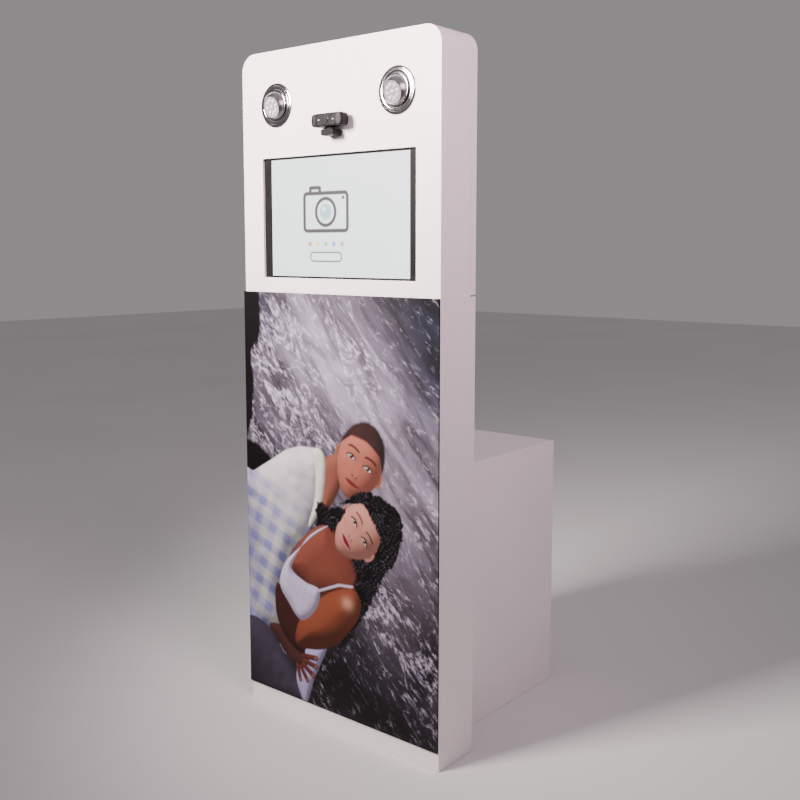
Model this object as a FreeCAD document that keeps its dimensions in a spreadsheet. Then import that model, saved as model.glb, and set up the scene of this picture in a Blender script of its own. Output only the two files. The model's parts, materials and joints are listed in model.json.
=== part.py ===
"""Photo booth totem: a printed column on the floor, a head with lamps, webcam and screen,
and a printer cabinet behind. Millimetres. The origin is the middle of the column's foot on
the floor, +X is to the viewer's right, +Y to the back and +Z up."""
import FreeCAD, Part
import math
import os
import re

import Sketcher

os.makedirs("parts", exist_ok=True)
doc = FreeCAD.newDocument("photo_booth")
sheet = doc.addObject("Spreadsheet::Sheet", "sizes")

DRIVING_SIZES = {
    # column, head and cabinet
    "booth_width": 620, "column_depth": 126, "column_height": 1062, "head_height": 572,
    "board": 15, "module_height": 496, "plinth_strip": 44,
    "cabinet_width": 471, "cabinet_depth": 464, "cabinet_height": 660,
    "print_thickness": 4, "print_overhang": 2.5, "print_top_gap": 1,
    # head
    "corner_radius": 42, "door_thickness": 18, "door_gap": 1, "door_lift": 4,
    "opening_width": 483, "opening_height": 286, "opening_sill": 20, "jamb_depth": 7,
    "vent_length": 160, "vent_slot": 5, "vent_pitch": 12,
    # joining bolts and cable ports
    "bolt_radius": 4, "bolt_clearance": 0.5, "bolt_corner": 7.5, "bolt_head": 5.5, "nut_height": 6.5,
    "nut_play": 0.05, "bolt_inset": 90, "cabinet_bolt_inset": 30, "port_radius": 28,
    "port_inset": 55.5, "conduit_standoff": 36, "port_level": 588,
    # hinges
    "pin_radius": 1.5, "knuckle_radius": 3, "knuckle_stand": 3.5, "leaf_thickness": 2,
    "leaf_width": 15, "leaf_height": 60, "running_fit": 0.05, "part_gap": 0.3,
    "knuckle_relief": 3.6, "hinge_inset": 90, "cabinet_door_gap": 2,
    # cam locks
    "barrel_radius": 9.5, "barrel_length": 22, "rosette_radius": 12, "rosette_thickness": 2,
    "plug_radius": 7.5, "cam_thickness": 2.5, "cam_reach": 32, "cam_half": 8, "cam_step": 1.5,
    "key_slot": 1.6, "key_height": 7, "key_depth": 6,
    "tab_reach": 20, "tab_thickness": 2, "tab_half": 12, "tab_gap": 1, "lock_inset": 37,
    # monitor
    "display_width": 438, "display_height": 277, "bezel_side": 26, "bezel_depth": 14,
    "bezel_play": 1, "bezel_lip": 4, "glass_setback": 2, "glass_depth": 8, "cover_width": 460,
    "cover_height": 290, "service_gap": 10, "cover_wall": 3, "bracket_width": 24, "bracket_steel": 2.5,
    "bracket_reach": 9, "bracket_step": 5, "bracket_foot": 30, "bracket_spread": 90,
    # small computer
    "computer_side": 118, "computer_depth": 36, "button_radius": 5, "button_inset": 20, "button_proud": 2,
    "button_travel": 1.5, "button_well": 6,
    # lamps
    "lamp_spacing": 378, "lamp_drop": 128, "lamp_hole": 47, "trim_radius": 52, "trim_barrel": 41.5,
    "trim_bore": 38.3, "ring_seat": 39.6, "ring_radius": 39.3, "ball_radius": 35, "ball_setback": 5,
    "ball_front": 23.5, "ball_back": 18, "ball_bore": 24.6, "lamp_radius": 24.3, "lamp_tilt": 15,
    "lamp_neck": 12.5, "lamp_length": 53, "spring_width": 12, "spring_reach": 24, "spring_steel": 1.2,
    # webcam
    "webcam_x": 6, "webcam_drop": 179, "webcam_width": 94, "webcam_tall": 29, "webcam_depth": 24,
    "webcam_standoff": 8, "clip_width": 38, "clip_depth": 30, "clip_drop": 19.5, "clip_top_gap": 6.5,
    "webcam_hinge_drop": 2.5, "webcam_hinge_radius": 3.4, "webcam_hinge_half": 8, "webcam_ear": 4,
    "face_width": 54, "face_height": 24, "face_thickness": 1.5, "webcam_hole": 5,
    "lead_radius": 2, "lead_drop": 30,
    # printer, shelf and outlet
    "shelf_height": 330, "printer_width": 275, "printer_depth": 366, "printer_height": 170,
    "printer_wall": 3, "printer_front_gap": 50, "printer_side_gap": 15, "lid_length": 125,
    "lid_setback": 40, "lid_thickness": 8, "lid_play": 1, "lid_ledge": 6,
    "lid_pin": 4, "bay_floor": 30,
    "slot_width": 160, "slot_height": 14, "slot_rise": 60,
    "outlet_width": 182, "outlet_height": 112, "outlet_sill": 258,
    "pocket_depth": 42, "pocket_steel": 1.5,
    # power inlet, switch, strip and conduit
    "inlet_y": 150, "inlet_level": 90, "inlet_width": 31, "inlet_height": 66, "inlet_flange": 2,
    "inlet_body_width": 27, "inlet_body_height": 48, "inlet_body_depth": 30,
    "socket_width": 24, "socket_height": 16.5, "socket_depth": 18,
    "rocker_radius": 7, "rocker_length": 19, "rocker_throw": 14, "rocker_cut": 4.6,
    "strip_width": 54, "strip_depth": 44, "strip_length": 190, "strip_level": 60,
    "outlet_hole": 19, "outlet_pitch": 45, "outlet_hole_depth": 16,
    "conduit_radius": 6, "conduit_step": 48.5, "saddle_width": 14, "saddle_wall": 2, "saddle_ear": 12,
}
for row, (alias, number) in enumerate(DRIVING_SIZES.items(), start=1):
    sheet.set(f"A{row}", alias)
    sheet.set(f"B{row}", str(number))
    sheet.setAlias(f"B{row}", alias)
doc.recompute()


def tie(expression):
    """Puts the sheet's name before each driving size named in an expression."""
    return re.sub(r"[a-z_]+", lambda w: "sizes." + w[0] if w[0] in DRIVING_SIZES else w[0], str(expression))


def value(expression):
    """The present number that an expression gives."""
    return float(sheet.evalExpression(tie(expression)))


def bind(thing, **expressions):
    """Binds properties of an object; x, y and z are its place."""
    for name, expression in expressions.items():
        path = f"Placement.Base.{name}" if name in ("x", "y", "z") else name
        thing.setExpression(path, tie(expression))
    return thing


def box(x, y, z, label="block"):
    """A block between pairs of planes given as expressions."""
    block = doc.addObject("Part::Box", label)
    block.Label = label
    lengths = [f"({pair[1]}) - ({pair[0]})" for pair in (x, y, z)]
    bind(block, Length=lengths[0], Width=lengths[1], Height=lengths[2])
    return bind(block, x=x[0], y=y[0], z=z[0])


TURNS = {
    "X": FreeCAD.Rotation(FreeCAD.Vector(0, 1, 0), 90),
    "Y": FreeCAD.Rotation(FreeCAD.Vector(1, 0, 0), -90),
    "Z": FreeCAD.Rotation(),
}


def rod(axis, x, y, z, radius, length, label="rod"):
    """A cylinder that starts at x, y, z and runs along an axis."""
    cylinder = doc.addObject("Part::Cylinder", label)
    cylinder.Label = label
    cylinder.Placement = FreeCAD.Placement(FreeCAD.Vector(), TURNS[axis])
    return bind(cylinder, Radius=radius, Height=length, x=x, y=y, z=z)


def hexagon(axis, x, y, z, radius, length):
    """A six-sided prism, for a bolt's head or a nut."""
    prism = doc.addObject("Part::Prism", "hexagon")
    prism.Polygon = 6
    prism.Placement = FreeCAD.Placement(FreeCAD.Vector(), TURNS[axis])
    return bind(prism, Circumradius=radius, Height=length, x=x, y=y, z=z)


def ball(x, y, z, radius):
    """A full sphere."""
    sphere = doc.addObject("Part::Sphere", "sphere")
    return bind(sphere, Radius=radius, x=x, y=y, z=z)


def fuse(pieces, label="joined"):
    """One solid from pieces that overlap or touch."""
    joined = doc.addObject("Part::MultiFuse", label)
    joined.Label = label
    joined.Shapes = pieces
    joined.Refine = True
    return joined


def group(pieces, label):
    """Separate solids that share a node."""
    together = doc.addObject("Part::Compound", label)
    together.Label = label
    together.Links = pieces
    return together


def cut(base, tools, label="cut"):
    """A solid less one or more tools."""
    result = doc.addObject("Part::Cut", label)
    result.Label = label
    result.Base = base
    result.Tool = tools[0] if len(tools) == 1 else group(tools, label + "_tools")
    result.Refine = True
    return result


def sketched(label, plane, points):
    """A body with a closed outline whose every corner is tied to the sheet."""
    body = doc.addObject("PartDesign::Body", label)
    body.Label = label
    sketch = body.newObject("Sketcher::SketchObject", label + "_outline")
    support = [f for f in body.Origin.OriginFeatures if f.Role == plane + "_Plane"][0]
    sketch.AttachmentSupport = [(support, "")]
    sketch.MapMode = "FlatFace"
    places = [(value(a), value(b)) for a, b in points]
    count = len(points)
    for i in range(count):
        ends = [FreeCAD.Vector(*places[(i + k) % count], 0) for k in (0, 1)]
        sketch.addGeometry(Part.LineSegment(*ends), False)
    for i in range(count):
        sketch.addConstraint(Sketcher.Constraint("Coincident", i, 2, (i + 1) % count, 1))
        for k, way in enumerate(("DistanceX", "DistanceY")):
            index = sketch.addConstraint(Sketcher.Constraint(way, -1, 1, i, 1, places[i][k]))
            sketch.setExpression(f"Constraints[{index}]", tie(points[i][k]))
    return body, sketch


def turned(label, points):
    """A body turned about the Y axis from an outline of (radius, y) corners."""
    body, sketch = sketched(label, "XY", points)
    lathe = body.newObject("PartDesign::Revolution", label + "_turning")
    lathe.Profile = sketch
    lathe.ReferenceAxis = (sketch, ["V_Axis"])
    lathe.Angle = 360
    return body


def plate(label, points, start, end):
    """A body of constant section: an (x, z) outline padded along Y, then rounded by round_edges."""
    body, sketch = sketched(label, "XZ", points)
    pad = body.newObject("PartDesign::Pad", label + "_pad")
    pad.Profile = sketch
    pad.setExpression("Length", tie(f"({end}) - ({start})"))
    bind(body, y=end)
    return body


def round_edges(body, radius, corners):
    """Rounds the edges along Y that pass through the given (x, z) corners."""
    doc.recompute()
    base = body.Tip
    names = []
    for number, edge in enumerate(base.Shape.Edges, start=1):
        middle, box_of = edge.CenterOfMass, edge.BoundBox
        if box_of.YLength < 1:
            continue
        if any(math.hypot(middle.x - value(x), middle.z - value(z)) < 0.01 for x, z in corners):
            names.append(f"Edge{number}")
    fillet = body.newObject("PartDesign::Fillet", body.Label + "_round")
    fillet.Base = (base, names)
    fillet.setExpression("Radius", tie(radius))
    return fillet


# ---------------------------------------------------------------- shared planes
half = "booth_width / 2"
port_x = "-(cabinet_width / 2 - board - port_inset)"
inner = "booth_width / 2 - board"
front = "-column_depth / 2"
front_inner = "board - column_depth / 2"
back = "column_depth / 2"
back_inner = "column_depth / 2 - board"
top = "column_height + head_height"
nodes = []


def keep(*pieces):
    """Lists finished sub-parts for export."""
    nodes.extend(pieces)


# ---------------------------------------------------------------- column modules
def column_module(name, low, high):
    """The walls of one column module: front, two sides and an inset back."""
    level = (low, high)
    keep(
        box((f"-({half})", half), (front, front_inner), level, name + "_front"),
        box((f"-({half})", f"-({inner})"), (front_inner, back), level, name + "_left_side"),
        box((inner, half), (front_inner, back), level, name + "_right_side"),
    )
    return box((f"-({inner})", inner), (back_inner, back), level, "back_blank")


def deck(low, high):
    """A board that closes a column module between its walls."""
    return box((f"-({inner})", inner), (front_inner, back_inner), (low, high), "deck_blank")


bolt_hole = "bolt_radius + bolt_clearance"
cabinet_bolt_x = "cabinet_width / 2 - cabinet_bolt_inset"
cabinet_bolt_levels = ["bolt_inset + board", "module_height - bolt_inset", "cabinet_height - bolt_inset"]
head_bolt_x = "booth_width / 2 - bolt_inset"
wall_depth = "2 * board + 2"
wall_start = "column_depth / 2 - board - 1"


def wall_holes(levels):
    """Bolt holes through a column back and the cabinet's front board."""
    return [rod("Y", f"{side} * ({cabinet_bolt_x})", wall_start, level, bolt_hole, wall_depth)
            for side in (-1, 1) for level in levels]


def cable_port():
    """The round hole that takes the conduit from the cabinet into the column."""
    return rod("Y", port_x, wall_start, "port_level", "port_radius", wall_depth)


lower_back_blank = column_module("lower", "0", "module_height")
keep(cut(lower_back_blank, wall_holes(cabinet_bolt_levels[:2]), "lower_back"))
base_deck = deck("0", "board")
base_deck.Label = "lower_base"
top_deck = deck("module_height - board", "module_height")
top_deck.Label = "lower_top"
keep(base_deck, top_deck)

upper_back_blank = column_module("upper", "module_height", "column_height")
keep(cut(upper_back_blank, wall_holes(cabinet_bolt_levels[2:]) + [cable_port()], "upper_back"))

deck_start = "column_height - board - 1"
deck_depth = "2 * board + 2"
conduit_y = "column_depth / 2 - board - conduit_standoff"


def deck_holes():
    """Bolt holes and the cable port through the column's top and the head's bottom."""
    holes = [rod("Z", f"{side} * ({head_bolt_x})", "0", deck_start, bolt_hole, deck_depth)
             for side in (-1, 1)]
    holes.append(rod("Z", port_x, conduit_y, deck_start, "port_radius", deck_depth))
    return holes


keep(cut(deck("column_height - board", "column_height"), deck_holes(), "upper_top"))

# ---------------------------------------------------------------- printed panel
keep(box((f"-({half}) - print_overhang", f"{half} - print_overhang / 2"),
         (f"{front} - print_thickness", front),
         ("plinth_strip", "column_height - print_top_gap"), "graphic_panel"))

# ---------------------------------------------------------------- head
opening_low = "column_height + board + opening_sill"
screen_level = "column_height + board + opening_sill + opening_height / 2"
lamp_level = "column_height + head_height - lamp_drop"
webcam_level = "column_height + head_height - webcam_drop"
door_plane = "column_depth / 2 - door_thickness"
wrap_back = "column_depth / 2 - door_thickness - door_gap"
bezel_half = "display_width / 2 + bezel_side"
bezel_tall = "display_height / 2 + bezel_side - bezel_lip"
top_corners = [(f"-({half})", top), (half, top)]


def head_outline(bottom):
    """The head's front outline above a given level, before its top corners are rounded."""
    return [(f"-({half})", bottom), (half, bottom), (half, top), (f"-({half})", top)]


face_blank = plate("face_blank", head_outline("column_height"), front, front_inner)
round_edges(face_blank, "corner_radius", top_corners)
face_cuts = [
    box(("-opening_width / 2", "opening_width / 2"), (f"{front} - 1", f"{front_inner} + 1"),
        (opening_low, f"{opening_low} + opening_height")),
    box((f"-({bezel_half}) - bezel_play", f"{bezel_half} + bezel_play"),
        (f"{front} + jamb_depth", f"{front_inner} + 1"),
        (f"{screen_level} - ({bezel_tall}) - bezel_play", f"{screen_level} + {bezel_tall} + bezel_play")),
    rod("Y", "webcam_x", f"{front} - 1", webcam_level, "webcam_hole", "board + 2"),
]
face_cuts += [rod("Y", f"{side} * lamp_spacing / 2", f"{front} - 1", lamp_level, "lamp_hole", "board + 2")
              for side in (-1, 1)]
keep(cut(face_blank, face_cuts, "head_front_panel"))

wrap = plate("head_wrap", [
    (f"-({half})", "column_height"), (f"-({inner})", "column_height"),
    (f"-({inner})", f"{top} - board"), (inner, f"{top} - board"),
    (inner, "column_height"), (half, "column_height"), (half, top), (f"-({half})", top),
], front_inner, wrap_back)
round_edges(wrap, "corner_radius", top_corners)
round_edges(wrap, "corner_radius - board", [(f"-({inner})", f"{top} - board"), (inner, f"{top} - board")])
keep(wrap)
bottom_blank = box((f"-({inner})", inner), (front_inner, wrap_back),
                   ("column_height", "column_height + board"))
keep(cut(bottom_blank, deck_holes(), "head_bottom_panel"))

# ---------------------------------------------------------------- rear door of the head
head_lock_x = "booth_width / 2 - board - lock_inset"
head_lock_level = "column_height + head_height / 2"
door_bottom = "column_height + door_lift"
door_blank = plate("door_blank", head_outline(door_bottom), door_plane, back)
round_edges(door_blank, "corner_radius", top_corners)
vent_rows = [f"{lowest} + {n} * vent_pitch"
             for lowest in (f"{door_bottom} + 60", f"{top} - 110") for n in range(5)]
door_cuts = [box(("-vent_length / 2", "vent_length / 2"), (f"{door_plane} - 1", f"{back} + 1"),
                 (row, f"{row} + vent_slot")) for row in vent_rows]
door_cuts.append(rod("Y", head_lock_x, f"{door_plane} - 1", head_lock_level, "barrel_radius + part_gap",
                     "door_thickness + 2"))
keep(cut(door_blank, door_cuts, "head_door"))


# ---------------------------------------------------------------- hinges
third = "leaf_height / 3"
wall_side = ("knuckle_stand - leaf_thickness", "knuckle_stand")


def placed(piece, x, y, z, turn):
    """Puts a finished hinge leaf or lock piece in its place, turned about Z."""
    piece.Placement = FreeCAD.Placement(FreeCAD.Vector(), FreeCAD.Rotation(FreeCAD.Vector(0, 0, 1), turn))
    return bind(piece, x=x, y=y, z=z)


def fixed_leaf(x, y, z, turn):
    """A hinge leaf with the two outer knuckles and the pin; its screw plate runs to -Y."""
    pieces = [box(wall_side, ("-leaf_width", "-knuckle_relief"), ("0", "leaf_height")),
              rod("Z", "0", "0", "0", "pin_radius", "leaf_height")]
    for low, high in (("0", f"{third} - part_gap"), (f"2 * {third} + part_gap", "leaf_height")):
        pieces.append(box(wall_side, ("-knuckle_relief - 1", "0"), (low, high)))
        pieces.append(rod("Z", "0", "0", low, "knuckle_radius", f"({high}) - ({low})"))
    return placed(fuse(pieces, "fixed_leaf"), x, y, z, turn)


def moving_leaf(x, y, z, turn, label):
    """A hinge leaf with the middle knuckle, bored for the pin; its screw plate runs to +Y."""
    solid = fuse([box(wall_side, ("knuckle_relief", "leaf_width"), ("0", "leaf_height")),
                  box(wall_side, ("0", "knuckle_relief + 1"), (third, f"2 * {third}")),
                  rod("Z", "0", "0", third, "knuckle_radius", third)])
    bore = rod("Z", "0", "0", "-1", "pin_radius + running_fit", "leaf_height + 2")
    return placed(cut(solid, [bore], label), x, y, z, turn)


head_pin = (f"-({half}) - knuckle_stand", f"{wrap_back} + door_gap / 2")
head_hinge_levels = [f"{door_bottom} + hinge_inset", f"{top} - hinge_inset - leaf_height"]
cabinet_back = "column_depth / 2 + cabinet_depth"
cabinet_inner = "cabinet_width / 2 - board"
cabinet_door_half = "cabinet_width / 2 - board - cabinet_door_gap"
cabinet_pin = (f"-({cabinet_inner}) + cabinet_door_gap / 2", f"{cabinet_back} + knuckle_stand")
cabinet_hinge_levels = ["hinge_inset", "cabinet_height - hinge_inset - leaf_height"]
hinge_places = [(*head_pin, level, 0) for level in head_hinge_levels]
hinge_places += [(*cabinet_pin, level, -90) for level in cabinet_hinge_levels]
keep(group([fixed_leaf(*place) for place in hinge_places], "hinge_fixed_leaves"))
keep(group([moving_leaf(*place, "leaf") for place in hinge_places[:2]], "head_door_leaves"))
keep(group([moving_leaf(*place, "leaf") for place in hinge_places[2:]], "cabinet_door_leaves"))


# ---------------------------------------------------------------- cam locks
def cam_lock(name, x, y, z):
    """A lock barrel with its rosette, and the plug with its cam hanging down, unlocked."""
    shell = fuse([rod("Y", "0", "-barrel_length", "0", "barrel_radius", "barrel_length"),
                  rod("Y", "0", "0", "0", "rosette_radius", "rosette_thickness")])
    bore = rod("Y", "0", "-barrel_length - 1", "0", "plug_radius + running_fit", "barrel_length + 5")
    keep(placed(cut(shell, [bore], name + "_barrel"), x, y, z, 0))
    cam_face = "-barrel_length - cam_step"
    plug_length = "barrel_length + cam_step + rosette_thickness"
    plug = fuse([rod("Y", "0", cam_face, "0", "plug_radius", plug_length),
                 box(("-cam_half", "cam_half"), (f"{cam_face} - cam_thickness", cam_face),
                     ("-cam_reach", "cam_half"))])
    slot = box(("-key_slot / 2", "key_slot / 2"),
               ("rosette_thickness - key_depth", "rosette_thickness + 1"),
               ("-key_height / 2", "key_height / 2"))
    keep(placed(cut(plug, [slot], name + "_plug"), x, y, z, 0))


def keeper(wall, door_face, level):
    """A bent steel keeper screwed to a wall; the cam turns in behind its tab."""
    tab_back = f"{door_face} - barrel_length - cam_step + tab_gap + tab_thickness"
    return fuse([box((f"{wall} - tab_reach", wall), (f"{tab_back} - tab_thickness", tab_back),
                     (f"{level} - tab_half", f"{level} + tab_half")),
                 box((f"{wall} - tab_thickness", wall), (f"{tab_back} - tab_reach", tab_back),
                     (f"{level} - tab_half", f"{level} + tab_half"))])


cabinet_lock_x = "cabinet_width / 2 - board - lock_inset"
cabinet_lock_level = "outlet_sill + outlet_height + 60"
cam_lock("head_lock", head_lock_x, back, head_lock_level)
cam_lock("cabinet_lock", cabinet_lock_x, cabinet_back, cabinet_lock_level)
keep(group([keeper(inner, back, head_lock_level), keeper(cabinet_inner, cabinet_back, cabinet_lock_level)],
           "lock_keepers"))

# ---------------------------------------------------------------- monitor
bezel_face = f"{front} + jamb_depth"
bezel_back = f"{bezel_face} + bezel_depth"
bezel_blank = box((f"-({bezel_half})", bezel_half), (bezel_face, bezel_back),
                  (f"{screen_level} - ({bezel_tall})", f"{screen_level} + {bezel_tall}"))
window = box(("-display_width / 2", "display_width / 2"), (f"{bezel_face} - 1", f"{bezel_back} + 1"),
             (f"{screen_level} - display_height / 2", f"{screen_level} + display_height / 2"))
glass_width = "display_width / 2 + bezel_lip"
glass_tall = "display_height / 2 + bezel_lip"
glass_seat = box((f"-({glass_width})", glass_width), (f"{bezel_face} + glass_setback", f"{bezel_back} + 1"),
                 (f"{screen_level} - ({glass_tall})", f"{screen_level} + {glass_tall}"))
keep(cut(bezel_blank, [window, glass_seat], "monitor_bezel"))
keep(box((f"-({glass_width}) + part_gap", f"{glass_width} - part_gap"),
         (f"{bezel_face} + glass_setback", f"{bezel_face} + glass_setback + glass_depth"),
         (f"{screen_level} - ({glass_tall}) + part_gap", f"{screen_level} + {glass_tall} - part_gap"),
         "monitor_screen"))
cover_back = f"{wrap_back} - service_gap - computer_depth"


def cover_block(shrink, start, end):
    """A block centred on the screen, as large as the monitor's back less a wall."""
    reach = f"cover_height / 2 - {shrink}"
    return box((f"-cover_width / 2 + {shrink}", f"cover_width / 2 - {shrink}"), (start, end),
               (f"{screen_level} - ({reach})", f"{screen_level} + {reach}"))


keep(cut(cover_block("0", bezel_back, cover_back),
         [cover_block("cover_wall", f"{bezel_back} - 1", f"{cover_back} - cover_wall")],
         "monitor_back_cover"))


def bracket(side, level):
    """A Z-shaped steel clip, screwed to the face panel's back, that bears on the bezel's back."""
    def across(near, far):
        ends = [f"{bezel_half} {near}", f"{bezel_half} {far}"]
        return ends if side > 0 else [f"-({ends[1]})", f"-({ends[0]})"]
    height = (f"{level} - bracket_width / 2", f"{level} + bracket_width / 2")
    steel_back = f"{bezel_back} + bracket_steel"
    return fuse([
        box(across("- bracket_reach", "+ bracket_step + bracket_steel"), (bezel_back, steel_back), height),
        box(across("+ bracket_step", "+ bracket_step + bracket_steel"), (front_inner, steel_back), height),
        box(across("+ bracket_step", "+ bracket_foot"),
            (front_inner, f"{front_inner} + bracket_steel"), height),
    ])


keep(group([bracket(side, f"{screen_level} + {lift} * bracket_spread")
            for side in (-1, 1) for lift in (-1, 1)], "monitor_brackets"))

# ---------------------------------------------------------------- small computer on the monitor's back
computer_y = (cover_back, f"{cover_back} + computer_depth")
button_x = f"{port_x} + computer_side / 2 - button_inset"
button_level = f"{screen_level} + computer_side / 2 - button_inset"
computer_blank = box((f"{port_x} - computer_side / 2", f"{port_x} + computer_side / 2"), computer_y,
                     (f"{screen_level} - computer_side / 2", f"{screen_level} + computer_side / 2"))
button_well = rod("Y", button_x, f"{computer_y[1]} - button_well", button_level,
                  "button_radius + part_gap", "button_well + 1")
keep(cut(computer_blank, [button_well], "mini_computer"))


def push_button(label, x, face, z):
    """A round button that stands proud of a face and travels into its well."""
    bottom = f"{face} - button_well + button_travel + 2 * part_gap"
    return rod("Y", x, bottom, z, "button_radius",
               "button_well - button_travel - 2 * part_gap + button_proud", label)


keep(push_button("computer_button", button_x, computer_y[1], button_level))

# ---------------------------------------------------------------- lamps
rim_edge = "-1.5"
rim_face = "-3.4"
collar_edge = "-4.6"
collar_face = "-5.2"
seat_back = "8.4"
seat_lip = "10"
trim_back = "board + 3"
TRIM_OUTLINE = [
    ("trim_barrel", "0"), ("trim_radius", "0"), ("trim_radius", rim_edge), ("trim_radius - 2.5", rim_face),
    ("trim_radius - 6", rim_face), ("trim_radius - 6", collar_edge),
    ("trim_bore", collar_face), ("trim_bore", rim_face), ("ring_seat", rim_face), ("ring_seat", seat_back),
    ("trim_bore", seat_back), ("trim_bore", seat_lip), ("ring_seat", seat_lip), ("ring_seat", trim_back),
    ("trim_barrel", trim_back),
]
glass_front = "1.2 - ball_front"
lamp_front = "0.4 - ball_front"
lamp_shoulder = "14"
lamp_end = "lamp_length - ball_front"
LAMP_OUTLINE = [
    ("0", glass_front), ("lamp_radius - 2", glass_front), ("lamp_radius - 2", lamp_front),
    ("lamp_radius", lamp_front), ("lamp_radius", "9 - ball_front"), ("lamp_neck + 3", lamp_shoulder),
    ("lamp_neck", lamp_shoulder), ("lamp_neck", lamp_end), ("0", lamp_end),
]
ball_y = f"{front} + ball_setback"
flange_front = "3.1"
flange_depth = "11.2"
nose_front = "7"
nose_depth = "4"
tilt = FreeCAD.Placement(FreeCAD.Vector(), FreeCAD.Rotation(FreeCAD.Vector(1, 0, 0), 1))


def tilted(piece, x):
    """Sets an eyeball's piece at its ball centre, nodding down by the lamp tilt."""
    piece.Placement = tilt
    bind(piece, x=x, y=ball_y, z=lamp_level)
    piece.setExpression("Placement.Rotation.Angle", tie("lamp_tilt"))
    return piece


springs = []
for name, side in (("left", -1), ("right", 1)):
    lamp_x = f"{side} * lamp_spacing / 2"
    trim = turned(name + "_trim_ring", TRIM_OUTLINE)
    keep(bind(trim, x=lamp_x, y=front, z=lamp_level))
    ring_blank = fuse([
        rod("Y", lamp_x, f"{front} - {flange_front}", lamp_level, "ring_radius", flange_depth),
        rod("Y", lamp_x, f"{front} - {nose_front}", lamp_level, "trim_bore - 2 * part_gap", nose_depth),
    ])
    socket = ball(lamp_x, ball_y, lamp_level, "ball_radius + part_gap")
    pivot = rod("X", f"{lamp_x} - ring_radius + 2", ball_y, lamp_level,
                "pin_radius + running_fit", "2 * ring_radius - 4")
    keep(cut(ring_blank, [socket, pivot], name + "_swivel_ring"))
    globe = fuse([ball("0", "0", "0", "ball_radius"),
                  rod("X", "-ring_radius + 2.5", "0", "0", "pin_radius", "2 * ring_radius - 5")])
    beyond = "(ball_radius + 1)"
    hollow = [box((f"-{beyond}", beyond), ends, (f"-{beyond}", beyond))
              for ends in ((f"-{beyond}", "-ball_front"), ("ball_back", beyond))]
    hollow.append(rod("Y", "0", f"-{beyond}", "0", "ball_bore", f"2 * {beyond}"))
    keep(tilted(cut(globe, hollow, name + "_eyeball"), lamp_x))
    keep(tilted(turned(name + "_led_lamp", LAMP_OUTLINE), lamp_x))
    for way in (-1, 1):
        reach_x = [f"{lamp_x} + {way} * trim_barrel", f"{lamp_x} + {way} * (trim_barrel + spring_reach)"]
        springs.append(box(sorted(reach_x, key=value),
                           (f"{front_inner} + part_gap", f"{front_inner} + part_gap + spring_steel"),
                           (f"{lamp_level} - spring_width / 2", f"{lamp_level} + spring_width / 2")))
keep(group(springs, "lamp_springs"))

# ---------------------------------------------------------------- webcam
webcam_back = f"{front} - webcam_standoff"
webcam_front = f"{front} - webcam_standoff - webcam_depth"
webcam_low = f"{webcam_level} - webcam_tall / 2"
hinge_y = f"{webcam_back} - webcam_depth / 2"
hinge_level = f"{webcam_low} - webcam_hinge_drop"
end_x = "webcam_width / 2 - webcam_tall / 2"
ear_x = "webcam_hinge_half + part_gap"
body_pieces = [box((f"webcam_x - ({end_x})", f"webcam_x + {end_x}"), (webcam_front, webcam_back),
                   (webcam_low, f"{webcam_low} + webcam_tall"))]
body_pieces += [rod("Y", f"webcam_x + {side} * ({end_x})", webcam_front, webcam_level,
                    "webcam_tall / 2", "webcam_depth") for side in (-1, 1)]
pin_from = f"webcam_x - ({ear_x}) - 1"
pin_length = f"2 * ({ear_x}) + 2"
hinge_block = (f"{hinge_y} - webcam_hinge_radius", f"{hinge_y} + webcam_hinge_radius")
for low in (f"webcam_x - ({ear_x}) - webcam_ear", f"webcam_x + {ear_x}"):
    body_pieces.append(rod("X", low, hinge_y, hinge_level, "webcam_hinge_radius", "webcam_ear"))
    body_pieces.append(box((low, f"{low} + webcam_ear"), hinge_block, (hinge_level, f"{webcam_low} + 2")))
body_pieces.append(rod("X", pin_from, hinge_y, hinge_level, "pin_radius", pin_length))
webcam_block = fuse(body_pieces, "webcam_solid")
knuckle_room = rod("X", f"webcam_x - ({ear_x})", hinge_y, hinge_level, "webcam_hinge_radius + 2 * part_gap",
                   f"2 * ({ear_x})")
pin_core = rod("X", pin_from, hinge_y, hinge_level, "pin_radius", pin_length)
keep(fuse([cut(webcam_block, [knuckle_room]), pin_core], "webcam_body"))
keep(fuse([box(("webcam_x - face_width / 2", "webcam_x + face_width / 2"),
               (f"{webcam_front} - face_thickness", webcam_front),
               (f"{webcam_level} - face_height / 2", f"{webcam_level} + face_height / 2")),
           rod("Y", "webcam_x", f"{webcam_front} - face_thickness - 1", webcam_level,
               "face_height / 3", "1")],
          "webcam_front_plate"))
clip_low = f"{webcam_low} - clip_drop"
clip_high = f"{webcam_low} - clip_top_gap"
clip_blank = fuse([
    box(("webcam_x - clip_width / 2", "webcam_x + clip_width / 2"), (f"{front} - clip_depth", front),
        (clip_low, clip_high)),
    box(("webcam_x - webcam_hinge_half", "webcam_x + webcam_hinge_half"),
        hinge_block, (clip_low, hinge_level)),
    rod("X", "webcam_x - webcam_hinge_half", hinge_y, hinge_level,
        "webcam_hinge_radius", "2 * webcam_hinge_half"),
])
clip_bore = rod("X", "webcam_x - clip_width", hinge_y, hinge_level,
                "pin_radius + running_fit", "2 * clip_width")
keep(cut(clip_blank, [clip_bore], "webcam_clip"))

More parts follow.
